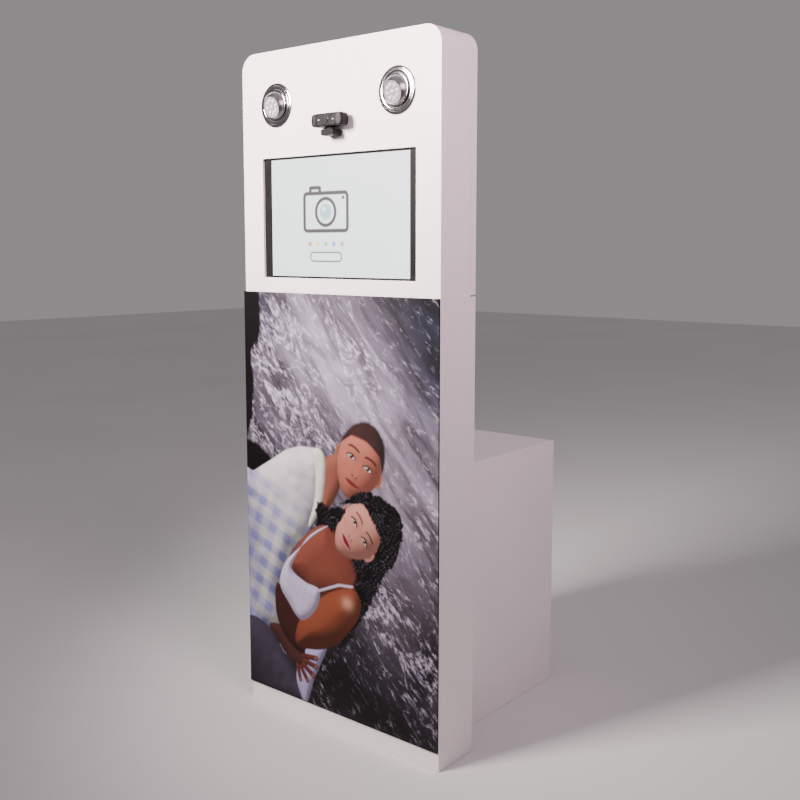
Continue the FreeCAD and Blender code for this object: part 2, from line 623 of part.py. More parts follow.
# ---------------------------------------------------------------- cabinet
cabinet_half = "cabinet_width / 2"
under_top = "cabinet_height - board"
door_inner = f"{cabinet_back} - board"
inlet_side = f"-({cabinet_half})"
inlet_hole = box((f"{inlet_side} - 1", f"{inlet_side} + board + 1"),
                 ("inlet_y - inlet_body_width / 2 - part_gap", "inlet_y + inlet_body_width / 2 + part_gap"),
                 ("inlet_level - inlet_body_height / 2 - part_gap",
                  "inlet_level + inlet_body_height / 2 + part_gap"))
left_blank = box((inlet_side, f"-({cabinet_inner})"), (back, cabinet_back), ("0", under_top))
keep(cut(left_blank, [inlet_hole], "cabinet_left_side"))
keep(box((cabinet_inner, cabinet_half), (back, cabinet_back), ("0", under_top), "cabinet_right_side"))
keep(box((inlet_side, cabinet_half), (back, cabinet_back), (under_top, "cabinet_height"), "cabinet_top"))
keep(box((f"-({cabinet_inner})", cabinet_inner), (back, cabinet_back), ("0", "board"), "cabinet_bottom"))
front_board_blank = box((f"-({cabinet_inner})", cabinet_inner), (back, f"{back} + board"),
                        ("board", under_top))
keep(cut(front_board_blank, wall_holes(cabinet_bolt_levels) + [cable_port()], "cabinet_front_board"))

printer_x = "cabinet_width / 2 - board - printer_side_gap - printer_width / 2"
cabinet_door_blank = box((f"-({cabinet_door_half})", cabinet_door_half), (door_inner, cabinet_back),
                         ("board + cabinet_door_gap", f"{under_top} - cabinet_door_gap"))
outlet = box((f"{printer_x} - outlet_width / 2", f"{printer_x} + outlet_width / 2"),
             (f"{door_inner} - 1", f"{cabinet_back} + 1"),
             ("outlet_sill", "outlet_sill + outlet_height"))
cabinet_lock_hole = rod("Y", cabinet_lock_x, f"{door_inner} - 1", cabinet_lock_level,
                        "barrel_radius + part_gap", "board + 2")
keep(cut(cabinet_door_blank, [outlet, cabinet_lock_hole], "cabinet_door"))

pocket_half = "outlet_width / 2 + pocket_steel"
pocket_blank = box((f"{printer_x} - ({pocket_half})", f"{printer_x} + {pocket_half}"),
                   (f"{door_inner} - pocket_depth", door_inner),
                   ("outlet_sill - pocket_steel", "outlet_sill + outlet_height"))
pocket_room = box((f"{printer_x} - outlet_width / 2", f"{printer_x} + outlet_width / 2"),
                  (f"{door_inner} - pocket_depth + pocket_steel", f"{door_inner} + 1"),
                  ("outlet_sill", "outlet_sill + outlet_height + 1"))
keep(cut(pocket_blank, [pocket_room], "print_pocket"))

# ---------------------------------------------------------------- shelf and printer
printer_front = f"{door_inner} - printer_front_gap"
printer_back = f"{printer_front} - printer_depth"
printer_half = "printer_width / 2"
printer_top = "shelf_height + printer_height"
shelf_blank = box((f"-({cabinet_inner})", cabinet_inner), (f"{back} + board", printer_front),
                  ("shelf_height - board", "shelf_height"))
cabinet_conduit_y = f"{back} + board + strip_depth / 2"
shelf_port_play = "4"
shelf_port = rod("Z", port_x, cabinet_conduit_y, "shelf_height - board - 1",
                 f"conduit_radius + {shelf_port_play}", "board + 2")
keep(cut(shelf_blank, [shelf_port], "printer_shelf"))

lid_back = f"{printer_front} - lid_setback - lid_length"
lid_level = f"{printer_top} - lid_thickness"
lid_side = f"{printer_half} - 3 * printer_wall"
lid_axis_y = f"{lid_back} + lid_play + lid_thickness / 2"
lid_axis_level = f"{lid_level} + lid_thickness / 2"


def printer_span(half_width):
    """The pair of X planes either side of the printer's middle."""
    return f"{printer_x} - ({half_width})", f"{printer_x} + {half_width}"


def printer_rod(half_width, radius):
    """A rod along the lid's hinge line, centred on the printer."""
    return rod("X", f"{printer_x} - ({half_width})", lid_axis_y, lid_axis_level,
               radius, f"2 * ({half_width})")


printer_blank = box(printer_span(printer_half), (printer_back, printer_front),
                    ("shelf_height", printer_top))
lid_seat = box(printer_span(lid_side), (lid_back, f"{lid_back} + lid_length"),
               (lid_level, f"{printer_top} + 1"))
media_bay = box(printer_span(f"{lid_side} - lid_ledge"),
                (f"{lid_back} + 2 * lid_ledge", f"{lid_back} + lid_length - lid_ledge"),
                ("shelf_height + bay_floor", f"{printer_top} + 1"))
print_slot = box(printer_span("slot_width / 2"),
                 (f"{printer_front} - lid_setback - 2 * lid_ledge", f"{printer_front} + 1"),
                 ("shelf_height + slot_rise", "shelf_height + slot_rise + slot_height"))
feed_button_x = f"{printer_x} + {printer_half} - button_inset"
feed_level = f"{printer_top} - button_inset"
feed_well = rod("Y", feed_button_x, f"{printer_front} - button_well", feed_level,
                "button_radius + part_gap", "button_well + 1")
hinge_bore = printer_rod(f"{lid_side} + lid_pin", "pin_radius + running_fit")
keep(cut(printer_blank, [lid_seat, media_bay, print_slot, feed_well, hinge_bore], "printer_body"))
keep(fuse([
    box(printer_span(f"{lid_side} - lid_play"), (lid_axis_y, f"{lid_back} + lid_length - lid_play"),
        (f"{lid_level} + part_gap", printer_top)),
    printer_rod(f"{lid_side} - lid_play", "lid_thickness / 2 - part_gap"),
    printer_rod(f"{lid_side} + lid_pin - 1", "pin_radius"),
], "printer_lid"))
keep(push_button("printer_button", feed_button_x, printer_front, feed_level))

# ---------------------------------------------------------------- power inlet, switch and strip
socket_level = "inlet_level - inlet_body_height / 2 + socket_height / 2 + 3"
rocker_level = "inlet_level + inlet_body_height / 2 - rocker_radius - 4"
inlet_face = f"{inlet_side} - inlet_flange"
inlet_blank = fuse([
    box((inlet_face, inlet_side), ("inlet_y - inlet_width / 2", "inlet_y + inlet_width / 2"),
        ("inlet_level - inlet_height / 2", "inlet_level + inlet_height / 2")),
    box((inlet_side, f"{inlet_side} + inlet_body_depth"),
        ("inlet_y - inlet_body_width / 2", "inlet_y + inlet_body_width / 2"),
        ("inlet_level - inlet_body_height / 2", "inlet_level + inlet_body_height / 2")),
])
socket_room = box((f"{inlet_face} - 1", f"{inlet_face} + socket_depth"),
                  ("inlet_y - socket_width / 2", "inlet_y + socket_width / 2"),
                  (f"{socket_level} - socket_height / 2", f"{socket_level} + socket_height / 2"))
rocker_room = rod("Y", inlet_side, "inlet_y - rocker_length / 2 - part_gap", rocker_level,
                  "rocker_radius + part_gap", "rocker_length + 2 * part_gap")
prong_places = [("0", "4"), ("-7", "-2"), ("7", "-2")]
prongs = [box((f"{inlet_face} + 3", f"{inlet_face} + socket_depth + 1"),
              (f"inlet_y + {y} - 1", f"inlet_y + {y} + 1"),
              (f"{socket_level} + {z} - 2", f"{socket_level} + {z} + 2")) for y, z in prong_places]
keep(fuse([cut(inlet_blank, [socket_room, rocker_room])] + prongs, "power_inlet"))
rocker_blank = rod("Y", "0", "-rocker_length / 2", "0", "rocker_radius", "rocker_length")
rocker_face = box(("-2 * rocker_radius", "-rocker_cut"), ("-rocker_length", "rocker_length"),
                  ("-2 * rocker_radius", "2 * rocker_radius"))
rocker = cut(rocker_blank, [rocker_face], "power_switch")
rocker.Placement = FreeCAD.Placement(FreeCAD.Vector(), FreeCAD.Rotation(FreeCAD.Vector(0, 1, 0), 1))
rocker.setExpression("Placement.Rotation.Angle", tie("rocker_throw / 2"))
keep(bind(rocker, x=inlet_side, y="inlet_y", z=rocker_level))

strip_y = (f"{back} + board", f"{back} + board + strip_depth")
strip_blank = box((f"{port_x} - strip_width / 2", f"{port_x} + strip_width / 2"), strip_y,
                  ("strip_level", "strip_level + strip_length"))
strip_middle = "strip_level + strip_length / 2"
strip_holes = [rod("Y", port_x, f"{strip_y[1]} - outlet_hole_depth", f"{strip_middle} + {n} * outlet_pitch",
                   "outlet_hole", "outlet_hole_depth + 1") for n in (-1, 0, 1)]
keep(cut(strip_blank, strip_holes, "power_strip"))


# ---------------------------------------------------------------- conduit, saddles and webcam lead
def bent_tube(label, radius, points):
    """A round tube along straight runs joined by tangent arcs, as large as the runs allow."""
    route = [FreeCAD.Vector(*(value(c) for c in point)) for point in points]
    edges, start = [], route[0]
    for before, corner, after in zip(route, route[1:], route[2:]):
        arrive, leave = corner - before, after - corner
        turn = arrive.getAngle(leave)
        tangent = 0.45 * min(arrive.Length, leave.Length)
        first = corner - arrive.normalize() * tangent
        last = corner + leave.normalize() * tangent
        bend = tangent / math.tan(turn / 2)
        inward = (leave - arrive).normalize()
        middle = corner + inward * (bend / math.cos(turn / 2) - bend)
        edges.append(Part.LineSegment(start, first).toShape())
        edges.append(Part.Arc(first, middle, last).toShape())
        print(f"{label}: bend radius {bend:.1f} mm")
        start = last
    edges.append(Part.LineSegment(start, route[-1]).toShape())
    path = Part.Wire(edges)
    section = Part.Wire([Part.makeCircle(value(radius), route[0], route[1] - route[0])])
    solid = path.makePipeShell([section], True, True)
    swept = math.pi * value(radius) ** 2 * path.Length
    print(f"{label}: volume {solid.Volume:.0f}, section times length {swept:.0f}")
    tube = doc.addObject("Part::Feature", label)
    tube.Label = label
    tube.Shape = solid
    return tube


conduit_low = "port_level - conduit_step / 2"
conduit_high = "port_level + conduit_step / 2"
computer_low = f"{screen_level} - computer_side / 2"
computer_high = f"{screen_level} + computer_side / 2"
keep(bent_tube("cable_conduit", "conduit_radius", [
    (port_x, cabinet_conduit_y, "strip_level + strip_length"), (port_x, cabinet_conduit_y, conduit_low),
    (port_x, conduit_y, conduit_high), (port_x, conduit_y, computer_low)]))
lead_y = f"{cover_back} + computer_depth / 2"
keep(bent_tube("webcam_lead", "lead_radius", [
    ("webcam_x", f"{front} - 1", webcam_level), ("webcam_x", lead_y, webcam_level),
    (port_x, lead_y, f"{webcam_level} - lead_drop"), (port_x, lead_y, computer_high)]))


def saddle(level):
    """A U-shaped clip that holds the conduit to the inside of the column's back."""
    outer = "conduit_radius + saddle_wall"
    height = (f"{level} - saddle_width / 2", f"{level} + saddle_width / 2")
    shell = fuse([
        rod("Z", port_x, conduit_y, height[0], outer, "saddle_width"),
        box((f"{port_x} - ({outer})", f"{port_x} + {outer}"), (conduit_y, back_inner), height),
        box((f"{port_x} - ({outer}) - saddle_ear", f"{port_x} + {outer} + saddle_ear"),
            (f"{back_inner} - saddle_wall", back_inner), height),
    ])
    bore = rod("Z", port_x, conduit_y, f"{height[0]} - 1",
               "conduit_radius + running_fit", "saddle_width + 2")
    return cut(shell, [bore])


keep(group([saddle(level) for level in ("port_level + 110", "column_height - 200", "column_height - 60")],
           "conduit_saddles"))


# ---------------------------------------------------------------- joining bolts
def bolt_and_nut(axis, x, y, z):
    """A hexagon bolt that runs along an axis from its head, through two boards, to its nut."""
    grip = "2 * board"

    def along(distance):
        place = {"X": x, "Y": y, "Z": z}
        place[axis] = f"{place[axis]} + {distance}"
        return place["X"], place["Y"], place["Z"]

    bolt = fuse([hexagon(axis, *along("-bolt_head"), "bolt_corner", "bolt_head"),
                 rod(axis, *along("0"), "bolt_radius", f"{grip} + nut_height + 3")])
    nut = cut(hexagon(axis, *along(grip), "bolt_corner", "nut_height"),
              [rod(axis, *along(f"{grip} - 1"), "bolt_radius + nut_play", "nut_height + 2")])
    return [bolt, nut]


fasteners = []
for side in (-1, 1):
    for level in cabinet_bolt_levels:
        fasteners += bolt_and_nut("Y", f"{side} * ({cabinet_bolt_x})", back_inner, level)
    fasteners += bolt_and_nut("Z", f"{side} * ({head_bolt_x})", "0", "column_height - board")
keep(group(fasteners, "joining_bolts"))

# ---------------------------------------------------------------- check and export
doc.recompute()
faults = [item.Name for item in doc.Objects if {"Invalid", "Error"} & set(item.State)]
faults += [node.Label for node in nodes if node.Shape.isNull() or not node.Shape.isValid()]
if faults:
    raise RuntimeError(f"failed: {faults}")
labels = [node.Label for node in nodes]
if len(set(labels)) != len(labels):
    raise RuntimeError("two sub-parts share a name")
for node in nodes:
    node.Shape.exportStep(f"parts/{node.Label}.step")
print(len(nodes), "nodes written")
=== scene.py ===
import json
import math

import bmesh
import bpy
import numpy as np
from mathutils import Matrix, Vector

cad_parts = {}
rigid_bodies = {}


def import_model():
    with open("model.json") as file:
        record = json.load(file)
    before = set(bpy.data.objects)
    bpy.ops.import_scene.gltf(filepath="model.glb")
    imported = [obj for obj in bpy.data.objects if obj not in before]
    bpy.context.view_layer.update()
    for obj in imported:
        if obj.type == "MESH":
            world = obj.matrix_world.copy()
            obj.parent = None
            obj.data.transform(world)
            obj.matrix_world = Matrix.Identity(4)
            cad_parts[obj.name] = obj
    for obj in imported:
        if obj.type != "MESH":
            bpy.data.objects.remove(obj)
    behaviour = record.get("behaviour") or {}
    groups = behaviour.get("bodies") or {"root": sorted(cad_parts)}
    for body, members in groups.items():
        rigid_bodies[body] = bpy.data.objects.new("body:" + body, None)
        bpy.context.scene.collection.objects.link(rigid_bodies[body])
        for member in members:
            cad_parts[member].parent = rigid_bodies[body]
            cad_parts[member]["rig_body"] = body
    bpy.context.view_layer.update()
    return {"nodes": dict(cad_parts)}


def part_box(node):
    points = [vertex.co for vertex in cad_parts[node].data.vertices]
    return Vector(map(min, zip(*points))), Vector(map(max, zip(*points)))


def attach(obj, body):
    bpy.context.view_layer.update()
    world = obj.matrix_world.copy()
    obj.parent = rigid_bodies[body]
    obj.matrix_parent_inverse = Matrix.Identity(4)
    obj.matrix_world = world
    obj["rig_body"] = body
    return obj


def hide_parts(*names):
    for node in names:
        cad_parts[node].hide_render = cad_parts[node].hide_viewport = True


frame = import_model()
collection = bpy.context.scene.collection
MM = 0.001


# ---------------------------------------------------------------- the studio
# A plain pale floor under soft light: a softbox close in front of the head, so that the booth is
# brightest at the top, a weaker rosy one at its right and a wide one overhead. The camera stands to
# the right of the front, at the height of the screen's foot.
def shader_node(tree, kind, inputs=None, **settings):
    """A shader node with its settings made; each input is a constant or another node's output."""
    made = tree.nodes.new("ShaderNode" + kind)
    for name, setting in settings.items():
        setattr(made, name, setting)
    for socket, source in (inputs or {}).items():
        if isinstance(source, bpy.types.NodeSocket):
            tree.links.new(source, made.inputs[socket])
        else:
            made.inputs[socket].default_value = source
    return made


def new_finish(name, **sockets):
    """A material and its tree and shader; the shader's constant sockets are set by name."""
    material = bpy.data.materials.new(name)
    material.use_nodes = True
    tree = material.node_tree
    shader = tree.nodes["Principled BSDF"]
    for socket, constant in sockets.items():
        shader.inputs[socket.replace("_", " ")].default_value = constant
    return material, tree, shader


def grain(tree, scale, detail=3.0, stretch=(1, 1, 1), turn=(0, 0, 0), distortion=0.0, rough=0.55):
    """Cloudy noise over the piece's own coordinates, scale patches to the metre, drawn out by stretch."""
    place = shader_node(tree, "TexCoord").outputs["Object"]
    turned = shader_node(tree, "Mapping", {"Vector": place, "Rotation": turn})
    drawn = shader_node(tree, "Mapping", {"Vector": turned.outputs[0], "Scale": stretch})
    noise = shader_node(tree, "TexNoise", {"Vector": drawn.outputs[0], "Scale": scale, "Detail": detail,
                                           "Roughness": rough, "Distortion": distortion})
    return noise.outputs[0]


def spread(tree, factor, low, high, start=0.0, end=1.0, smooth=False):
    """The factor's stretch from start to end, mapped to the stretch from low to high and held there."""
    kind = "SMOOTHSTEP" if smooth else "LINEAR"
    inputs = {"Value": factor, "From Min": start, "From Max": end, "To Min": low, "To Max": high}
    return shader_node(tree, "MapRange", inputs, interpolation_type=kind).outputs[0]


def between(tree, factor, first, second, blend="MIX"):
    """The first colour, going over to the second as the factor rises."""
    mixed = shader_node(tree, "Mix", data_type="RGBA", blend_type=blend)
    for index, source in ((0, factor), (6, first), (7, second)):
        if isinstance(source, bpy.types.NodeSocket):
            tree.links.new(source, mixed.inputs[index])
        else:
            mixed.inputs[index].default_value = source if index == 0 else (*source, 1)
    return mixed.outputs[2]


def press(tree, shader, height, depth):
    """Embosses a height pattern into the shader's surface, depth metres at most."""
    bump = shader_node(tree, "Bump", {"Height": height, "Distance": depth, "Strength": 1.0})
    tree.links.new(bump.outputs[0], shader.inputs["Normal"])


def maths(tree, operation, *terms):
    """One step of arithmetic on numbers and other nodes' outputs."""
    return shader_node(tree, "Math", dict(enumerate(terms)), operation=operation).outputs[0]


def mottled(name, pale, dark, patches, gloss, tooth, tooth_depth, **sockets):
    """A finish whose colour drifts between two tones in soft patches, whose roughness wanders with
    them, and whose skin has a fine tooth. Tooth is patches to the metre."""
    material, tree, shader = new_finish(name, **sockets)
    cloud = grain(tree, patches, 4)
    tone = between(tree, spread(tree, cloud, 0, 1, 0.3, 0.7), pale, dark)
    tree.links.new(tone, shader.inputs["Base Color"])
    fine = grain(tree, tooth, 2)
    blur = maths(tree, "ADD", spread(tree, cloud, *gloss, 0.3, 0.7), spread(tree, fine, -0.03, 0.03))
    tree.links.new(blur, shader.inputs["Roughness"])
    press(tree, shader, fine, tooth_depth)
    return material


def add_piece(name, vertices, faces, finish, smooth=True):
    """An object at the origin from vertex and face arrays."""
    mesh = bpy.data.meshes.new(name)
    mesh.from_pydata(vertices.tolist(), [], faces.tolist() if hasattr(faces, "tolist") else faces)
    mesh.materials.append(finish)
    mesh.polygons.foreach_set("use_smooth", np.full(len(mesh.polygons), smooth))
    mesh.update()
    piece = bpy.data.objects.new(name, mesh)
    collection.objects.link(piece)
    return piece


FLOOR_REACH = 14.0
floor_finish = mottled("studio_floor", (0.74, 0.72, 0.73), (0.70, 0.68, 0.69), 0.8, (0.6, 0.7), 300, 0.0002)
FLOOR_DROP = 0.0005
floor_corners = np.array([[x * FLOOR_REACH, y * FLOOR_REACH, -FLOOR_DROP] for y in (-1, 1) for x in (-1, 1)])
studio_floor = add_piece("studio_floor", floor_corners, [[0, 1, 3, 2]], floor_finish)


def soft_lamp(name, place, aim, size, power, spread_angle, tint):
    """A square softbox that points from its place to its aim and throws a cone of the spread angle."""
    data = bpy.data.lights.new(name, "AREA")
    data.size = size
    data.energy = power
    data.spread = math.radians(spread_angle)
    data.color = tint
    lamp = bpy.data.objects.new(name, data)
    lamp.location = place
    lamp.rotation_euler = (Vector(aim) - Vector(place)).to_track_quat("-Z", "Y").to_euler()
    collection.objects.link(lamp)


soft_lamp("front_softbox", (-0.55, -1.65, 2.0), (0.0, 0.0, 1.4), 0.6, 46, 85, (1.0, 0.89, 0.85))
soft_lamp("right_softbox", (1.7, -0.55, 2.1), (0.2, 0.1, 1.45), 0.9, 9.5, 80, (1.0, 0.70, 0.85))
soft_lamp("overhead_softbox", (0.4, -0.8, 4.2), (0, 0, 0), 3.0, 20, 180, (1.0, 0.97, 0.97))
sky = bpy.data.worlds.new("studio_walls")
bpy.context.scene.world = sky
sky.use_nodes = True
backdrop = sky.node_tree.nodes["Background"].inputs
backdrop["Color"].default_value = (0.92, 0.86, 0.89, 1)
backdrop["Strength"].default_value = 0.31

CAMERA_YAW = 38.7845
CAMERA_DOWN = 6.4294
CAMERA_ROLL = 0.1666
CAMERA_PLACE = (1.6155, -1.7342, 1.1623)
camera_data = bpy.data.cameras.new("camera")
camera_data.lens = 44.887
camera_data.sensor_width = 36
camera_data.shift_x = -0.03345
camera_data.shift_y = -0.04575
camera = bpy.data.objects.new("camera", camera_data)
collection.objects.link(camera)
camera_turn = Matrix.Rotation(math.radians(CAMERA_YAW), 4, "Z")
camera_turn @= Matrix.Rotation(math.radians(90 - CAMERA_DOWN), 4, "X")
camera_turn @= Matrix.Rotation(math.radians(CAMERA_ROLL), 4, "Z")
camera.matrix_world = Matrix.Translation(CAMERA_PLACE) @ camera_turn
bpy.context.scene.camera = camera


# ---------------------------------------------------------------- boards of the column and cabinet
# Fibreboard, 15 mm thick, faced and edged with a warm white satin laminate. Each board is sawn,
# edge taped and eased by hand, then screwed from behind; a fine seam shows where two boards meet.
laminate = mottled("white_laminate", (0.85, 0.79, 0.785), (0.81, 0.75, 0.745), 5, (0.34, 0.44), 700,
                   0.00002, Coat_Weight=0.12, Coat_Roughness=0.25)


def eased(node, finish, ease=0.6, sharp=35):
    """A sawn or moulded piece: the node's triangles merged into whole flats, then each corner sharper
    than the sharp angle rounded over by ease millimetres."""
    cad = frame["nodes"][node]
    form = bmesh.new()
    form.from_mesh(cad.data)
    bmesh.ops.remove_doubles(form, verts=form.verts, dist=2e-6)
    bmesh.ops.dissolve_limit(form, angle_limit=math.radians(0.5), verts=form.verts, edges=form.edges)
    mesh = bpy.data.meshes.new(node + "_finished")
    form.to_mesh(mesh)
    form.free()
    if "custom_normal" in mesh.attributes:
        mesh.attributes.remove(mesh.attributes["custom_normal"])
    mesh.materials.clear()
    mesh.materials.append(finish)
    mesh.polygons.foreach_set("use_smooth", np.full(len(mesh.polygons), True))
    mesh.polygons.foreach_set("material_index", np.zeros(len(mesh.polygons), int))
    mesh.set_sharp_from_angle(angle=math.radians(sharp))
    piece = bpy.data.objects.new(node + "_finished", mesh)
    collection.objects.link(piece)
    rounding = piece.modifiers.new("eased_edges", "BEVEL")
    rounding.width = ease * MM
    rounding.segments = 2
    rounding.limit_method = "ANGLE"
    rounding.angle_limit = math.radians(sharp)
    rounding.use_clamp_overlap = False
    rounding.harden_normals = True
    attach(piece, cad["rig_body"])
    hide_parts(node)
    return piece


COLUMN_BOARDS = [
    "lower_front", "lower_left_side", "lower_right_side", "lower_back", "lower_base", "lower_top",
    "upper_front", "upper_left_side", "upper_right_side", "upper_back", "upper_top",
]
CABINET_BOARDS = [
    "cabinet_left_side", "cabinet_right_side", "cabinet_top", "cabinet_bottom", "cabinet_front_board",
    "cabinet_door", "printer_shelf",
]
for board in COLUMN_BOARDS + CABINET_BOARDS:
    eased(board, laminate)

# ---------------------------------------------------------------- head
# The same boards: a face panel with routed openings, a wrap bent round both top corners, a bottom
# board, and a hinged rear door with two groups of sawn vent slots.
for board in ("head_front_panel", "head_wrap", "head_bottom_panel", "head_door"):
    eased(board, laminate, ease=0.8)

# ---------------------------------------------------------------- printed panel
# A thin board faced with a colour print under satin film, taped to the column's front; its side faces
# come out near black, as no picture is stored on them. The print shows two figures at the edge of the
# sea, whose faces are a plain design of our own.
def ink(red, green, blue):
    """A printed colour from its 0 to 255 display values: the reflectance is the sum of their 2.75th
    power and, for the whites, their 9th power. It is made a little bluer, because the studio light
    is warm, and a little more saturated, because that light washes a print out."""
    shown = np.array([red, green, blue]) / 255
    reflected = (0.38 * shown ** 2.75 + 0.42 * shown ** 9) * (0.93, 1.0, 1.12)
    return np.clip(reflected.mean() + 1.08 * (reflected - reflected.mean()), 0.0008, 1)


def even_steps(*stretches):
    """One rising row of places: each stretch is its start, its end and its number of equal steps."""
    rows = [np.linspace(start, end, steps, endpoint=False) for start, end, steps in stretches]
    return np.append(np.concatenate(rows), stretches[-1][1])


def pictured_slab(name, across, up, front, back, finish):
    """A closed slab whose front face is a fine grid that can carry a picture, point by point: the
    front grid, a ring of side faces from its rim to the back plane, and one flat back."""
    wide, tall = len(across), len(up)
    grid_x, grid_z = np.meshgrid(across, up)
    face = np.stack([grid_x.ravel(), np.full(wide * tall, front), grid_z.ravel()], 1)
    index = np.arange(wide * tall).reshape(tall, wide)
    rim = np.concatenate([index[0, :-1], index[:-1, -1], index[-1, :0:-1], index[:0:-1, 0]])
    rear = face[rim] * (1, 0, 1) + (0, back, 0)
    quads = np.stack([index[:-1, :-1], index[:-1, 1:], index[1:, 1:], index[1:, :-1]], -1).reshape(-1, 4)
    behind = len(face) + np.arange(len(rim))
    sides = np.stack([rim, behind, np.roll(behind, -1), np.roll(rim, -1)], 1)
    faces = quads.tolist() + sides.tolist() + [behind[::-1].tolist()]
    return add_piece(name, np.concatenate([face, rear]) * MM, faces, finish, smooth=False), grid_x, grid_z


def store_picture(piece, name, picture):
    """Keeps a picture of four channels on the slab's front points; its sides and back stay blank."""
    attribute = piece.data.attributes.new(name, "FLOAT_COLOR", "POINT")
    channels = np.zeros((len(piece.data.vertices), 4))
    channels[:picture.shape[0] * picture.shape[1]] = picture.reshape(-1, 4)
    attribute.data.foreach_set("color", channels.ravel())


def smooth_outline(points, steps=6):
    """A closed outline through a few points: each span is the Catmull-Rom cubic of the four points
    round it."""
    here = np.array(points, float)[:, None]
    before, after, beyond = (np.roll(here, shift, 0) for shift in (1, -1, -2))
    part = (np.arange(steps) / steps)[None, :, None]
    curve = 2 * here + (after - before) * part
    curve = curve + (2 * before - 5 * here + 4 * after - beyond) * part ** 2
    curve = curve + (3 * here - before - 3 * after + beyond) * part ** 3
    return curve.reshape(-1, 2) / 2


def depth_in(x, z, outline):
    """How far each point lies inside a closed outline, negative outside: its distance from the
    nearest edge, signed by how many edges a line to its right crosses."""
    nearest = np.full(x.shape, 1e9)
    inside = np.zeros(x.shape, bool)
    for (ax, az), (bx, bz) in zip(outline, np.roll(outline, -1, 0)):
        run_x, run_z = bx - ax, bz - az
        along = np.clip(((x - ax) * run_x + (z - az) * run_z) / (run_x ** 2 + run_z ** 2), 0, 1)
        nearest = np.minimum(nearest, (x - ax - along * run_x) ** 2 + (z - az - along * run_z) ** 2)
        spans = (az > z) != (bz > z)
        inside ^= spans & (x < ax + (z - az) * run_x / np.where(spans, run_z, 1))
    return np.sqrt(nearest) * np.where(inside, 1, -1)


def dapple(x, z, size, seed):
    """Soft blotches from 0 to 1: a fixed random height at each corner of a lattice of that size,
    eased between corners."""
    lattice = 64
    heights = np.random.default_rng(seed).random((lattice, lattice))
    column, row = np.floor(x / size).astype(int), np.floor(z / size).astype(int)
    across, up = x / size - column, z / size - row
    across, up = across ** 2 * (3 - 2 * across), up ** 2 * (3 - 2 * up)
    left, right = column % lattice, (column + 1) % lattice
    lower, upper = row % lattice, (row + 1) % lattice
    low = heights[lower, left] * (1 - across) + heights[lower, right] * across
    high = heights[upper, left] * (1 - across) + heights[upper, right] * across
    return low * (1 - up) + high * up


def glow(x, z, centre, reach, turn=0.0):
    """A soft round patch: the bell curve of the distance from its centre, drawn out and turned."""
    cosine, sine = math.cos(math.radians(turn)), math.sin(math.radians(turn))
    along = ((x - centre[0]) * cosine + (z - centre[1]) * sine) / reach[0]
    across = ((z - centre[1]) * cosine - (x - centre[0]) * sine) / reach[1]
    return np.exp(-along ** 2 - across ** 2)


PANEL_LOW, PANEL_HIGH = (np.array(corner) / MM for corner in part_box("graphic_panel"))
# The figures' grid is fine, and the sea's, beside and above them, is coarse.
FIGURES_RIGHT = 228.0
FIGURES_TOP = 790.0
PRINT_STEP = 2.15
panel_across = even_steps((PANEL_LOW[0], FIGURES_RIGHT, int((FIGURES_RIGHT - PANEL_LOW[0]) / PRINT_STEP)),
                          (FIGURES_RIGHT, PANEL_HIGH[0], 8))
panel_up = even_steps((PANEL_LOW[2], FIGURES_TOP, int((FIGURES_TOP - PANEL_LOW[2]) / PRINT_STEP)),
                      (FIGURES_TOP, PANEL_HIGH[2], 24))

print_finish, tree, shader = new_finish("printed_film", Roughness=0.5, Specular_IOR_Level=0.16)
printed_panel, px, pz = pictured_slab("printed_panel", panel_across, panel_up, PANEL_LOW[1], PANEL_HIGH[1],
                                      print_finish)

# The sea: its colour and how much foam floats on it, as soft patches over the print.
sea = np.zeros((*px.shape, 4))
sea[..., :3] = ink(120, 112, 118)
for centre, reach, turn, colour, strength in (
    ((40, 860), (330, 150), -45, (196, 186, 194), 0.95),
    ((-150, 800), (230, 90), -50, (150, 140, 146), 0.6),
    ((180, 620), (200, 120), -60, (176, 164, 170), 0.8),
    ((300, 1050), (210, 130), -30, (34, 34, 44), 1.0),
    ((-290, 1050), (120, 60), -30, (74, 70, 82), 0.8),
    ((310, 930), (90, 150), 0, (70, 74, 92), 0.7),
    ((-300, 1030), (70, 110), 0, (84, 80, 92), 0.7),
    ((150, 70), (420, 130), -12, (30, 20, 18), 1.0),
    ((-40, 110), (150, 170), -40, (30, 18, 15), 1.0),
    ((230, 330), (120, 90), -45, (112, 98, 100), 0.7),
    ((290, 240), (60, 130), -30, (40, 30, 28), 0.9),
):
    patch = (glow(px, pz, centre, reach, turn) * strength)[..., None]
    sea[..., :3] = sea[..., :3] * (1 - patch) + ink(*colour) * patch
foam = 0.16 + 0.50 * glow(px, pz, (-215, 800), (90, 230), 12) + 0.30 * glow(px, pz, (-120, 700), (150, 120))
foam = foam + 0.22 * glow(px, pz, (40, 900), (90, 90)) + 0.6 * glow(px, pz, (150, 290), (70, 250), 40)
foam = foam + 0.35 * glow(px, pz, (270, 560), (60, 160), 25) - 0.22 * glow(px, pz, (260, 1000), (150, 150))
sea[..., 3] = np.clip(foam - 0.10 * glow(px, pz, (60, 80), (220, 70)), 0, 1)
store_picture(printed_panel, "sea", sea)

# The figures, laid over the sea from back to front. Light comes from the upper left.
figures = np.zeros((*px.shape, 4))
LIGHT_FROM = np.array([-0.45, 0.6, 0.66])


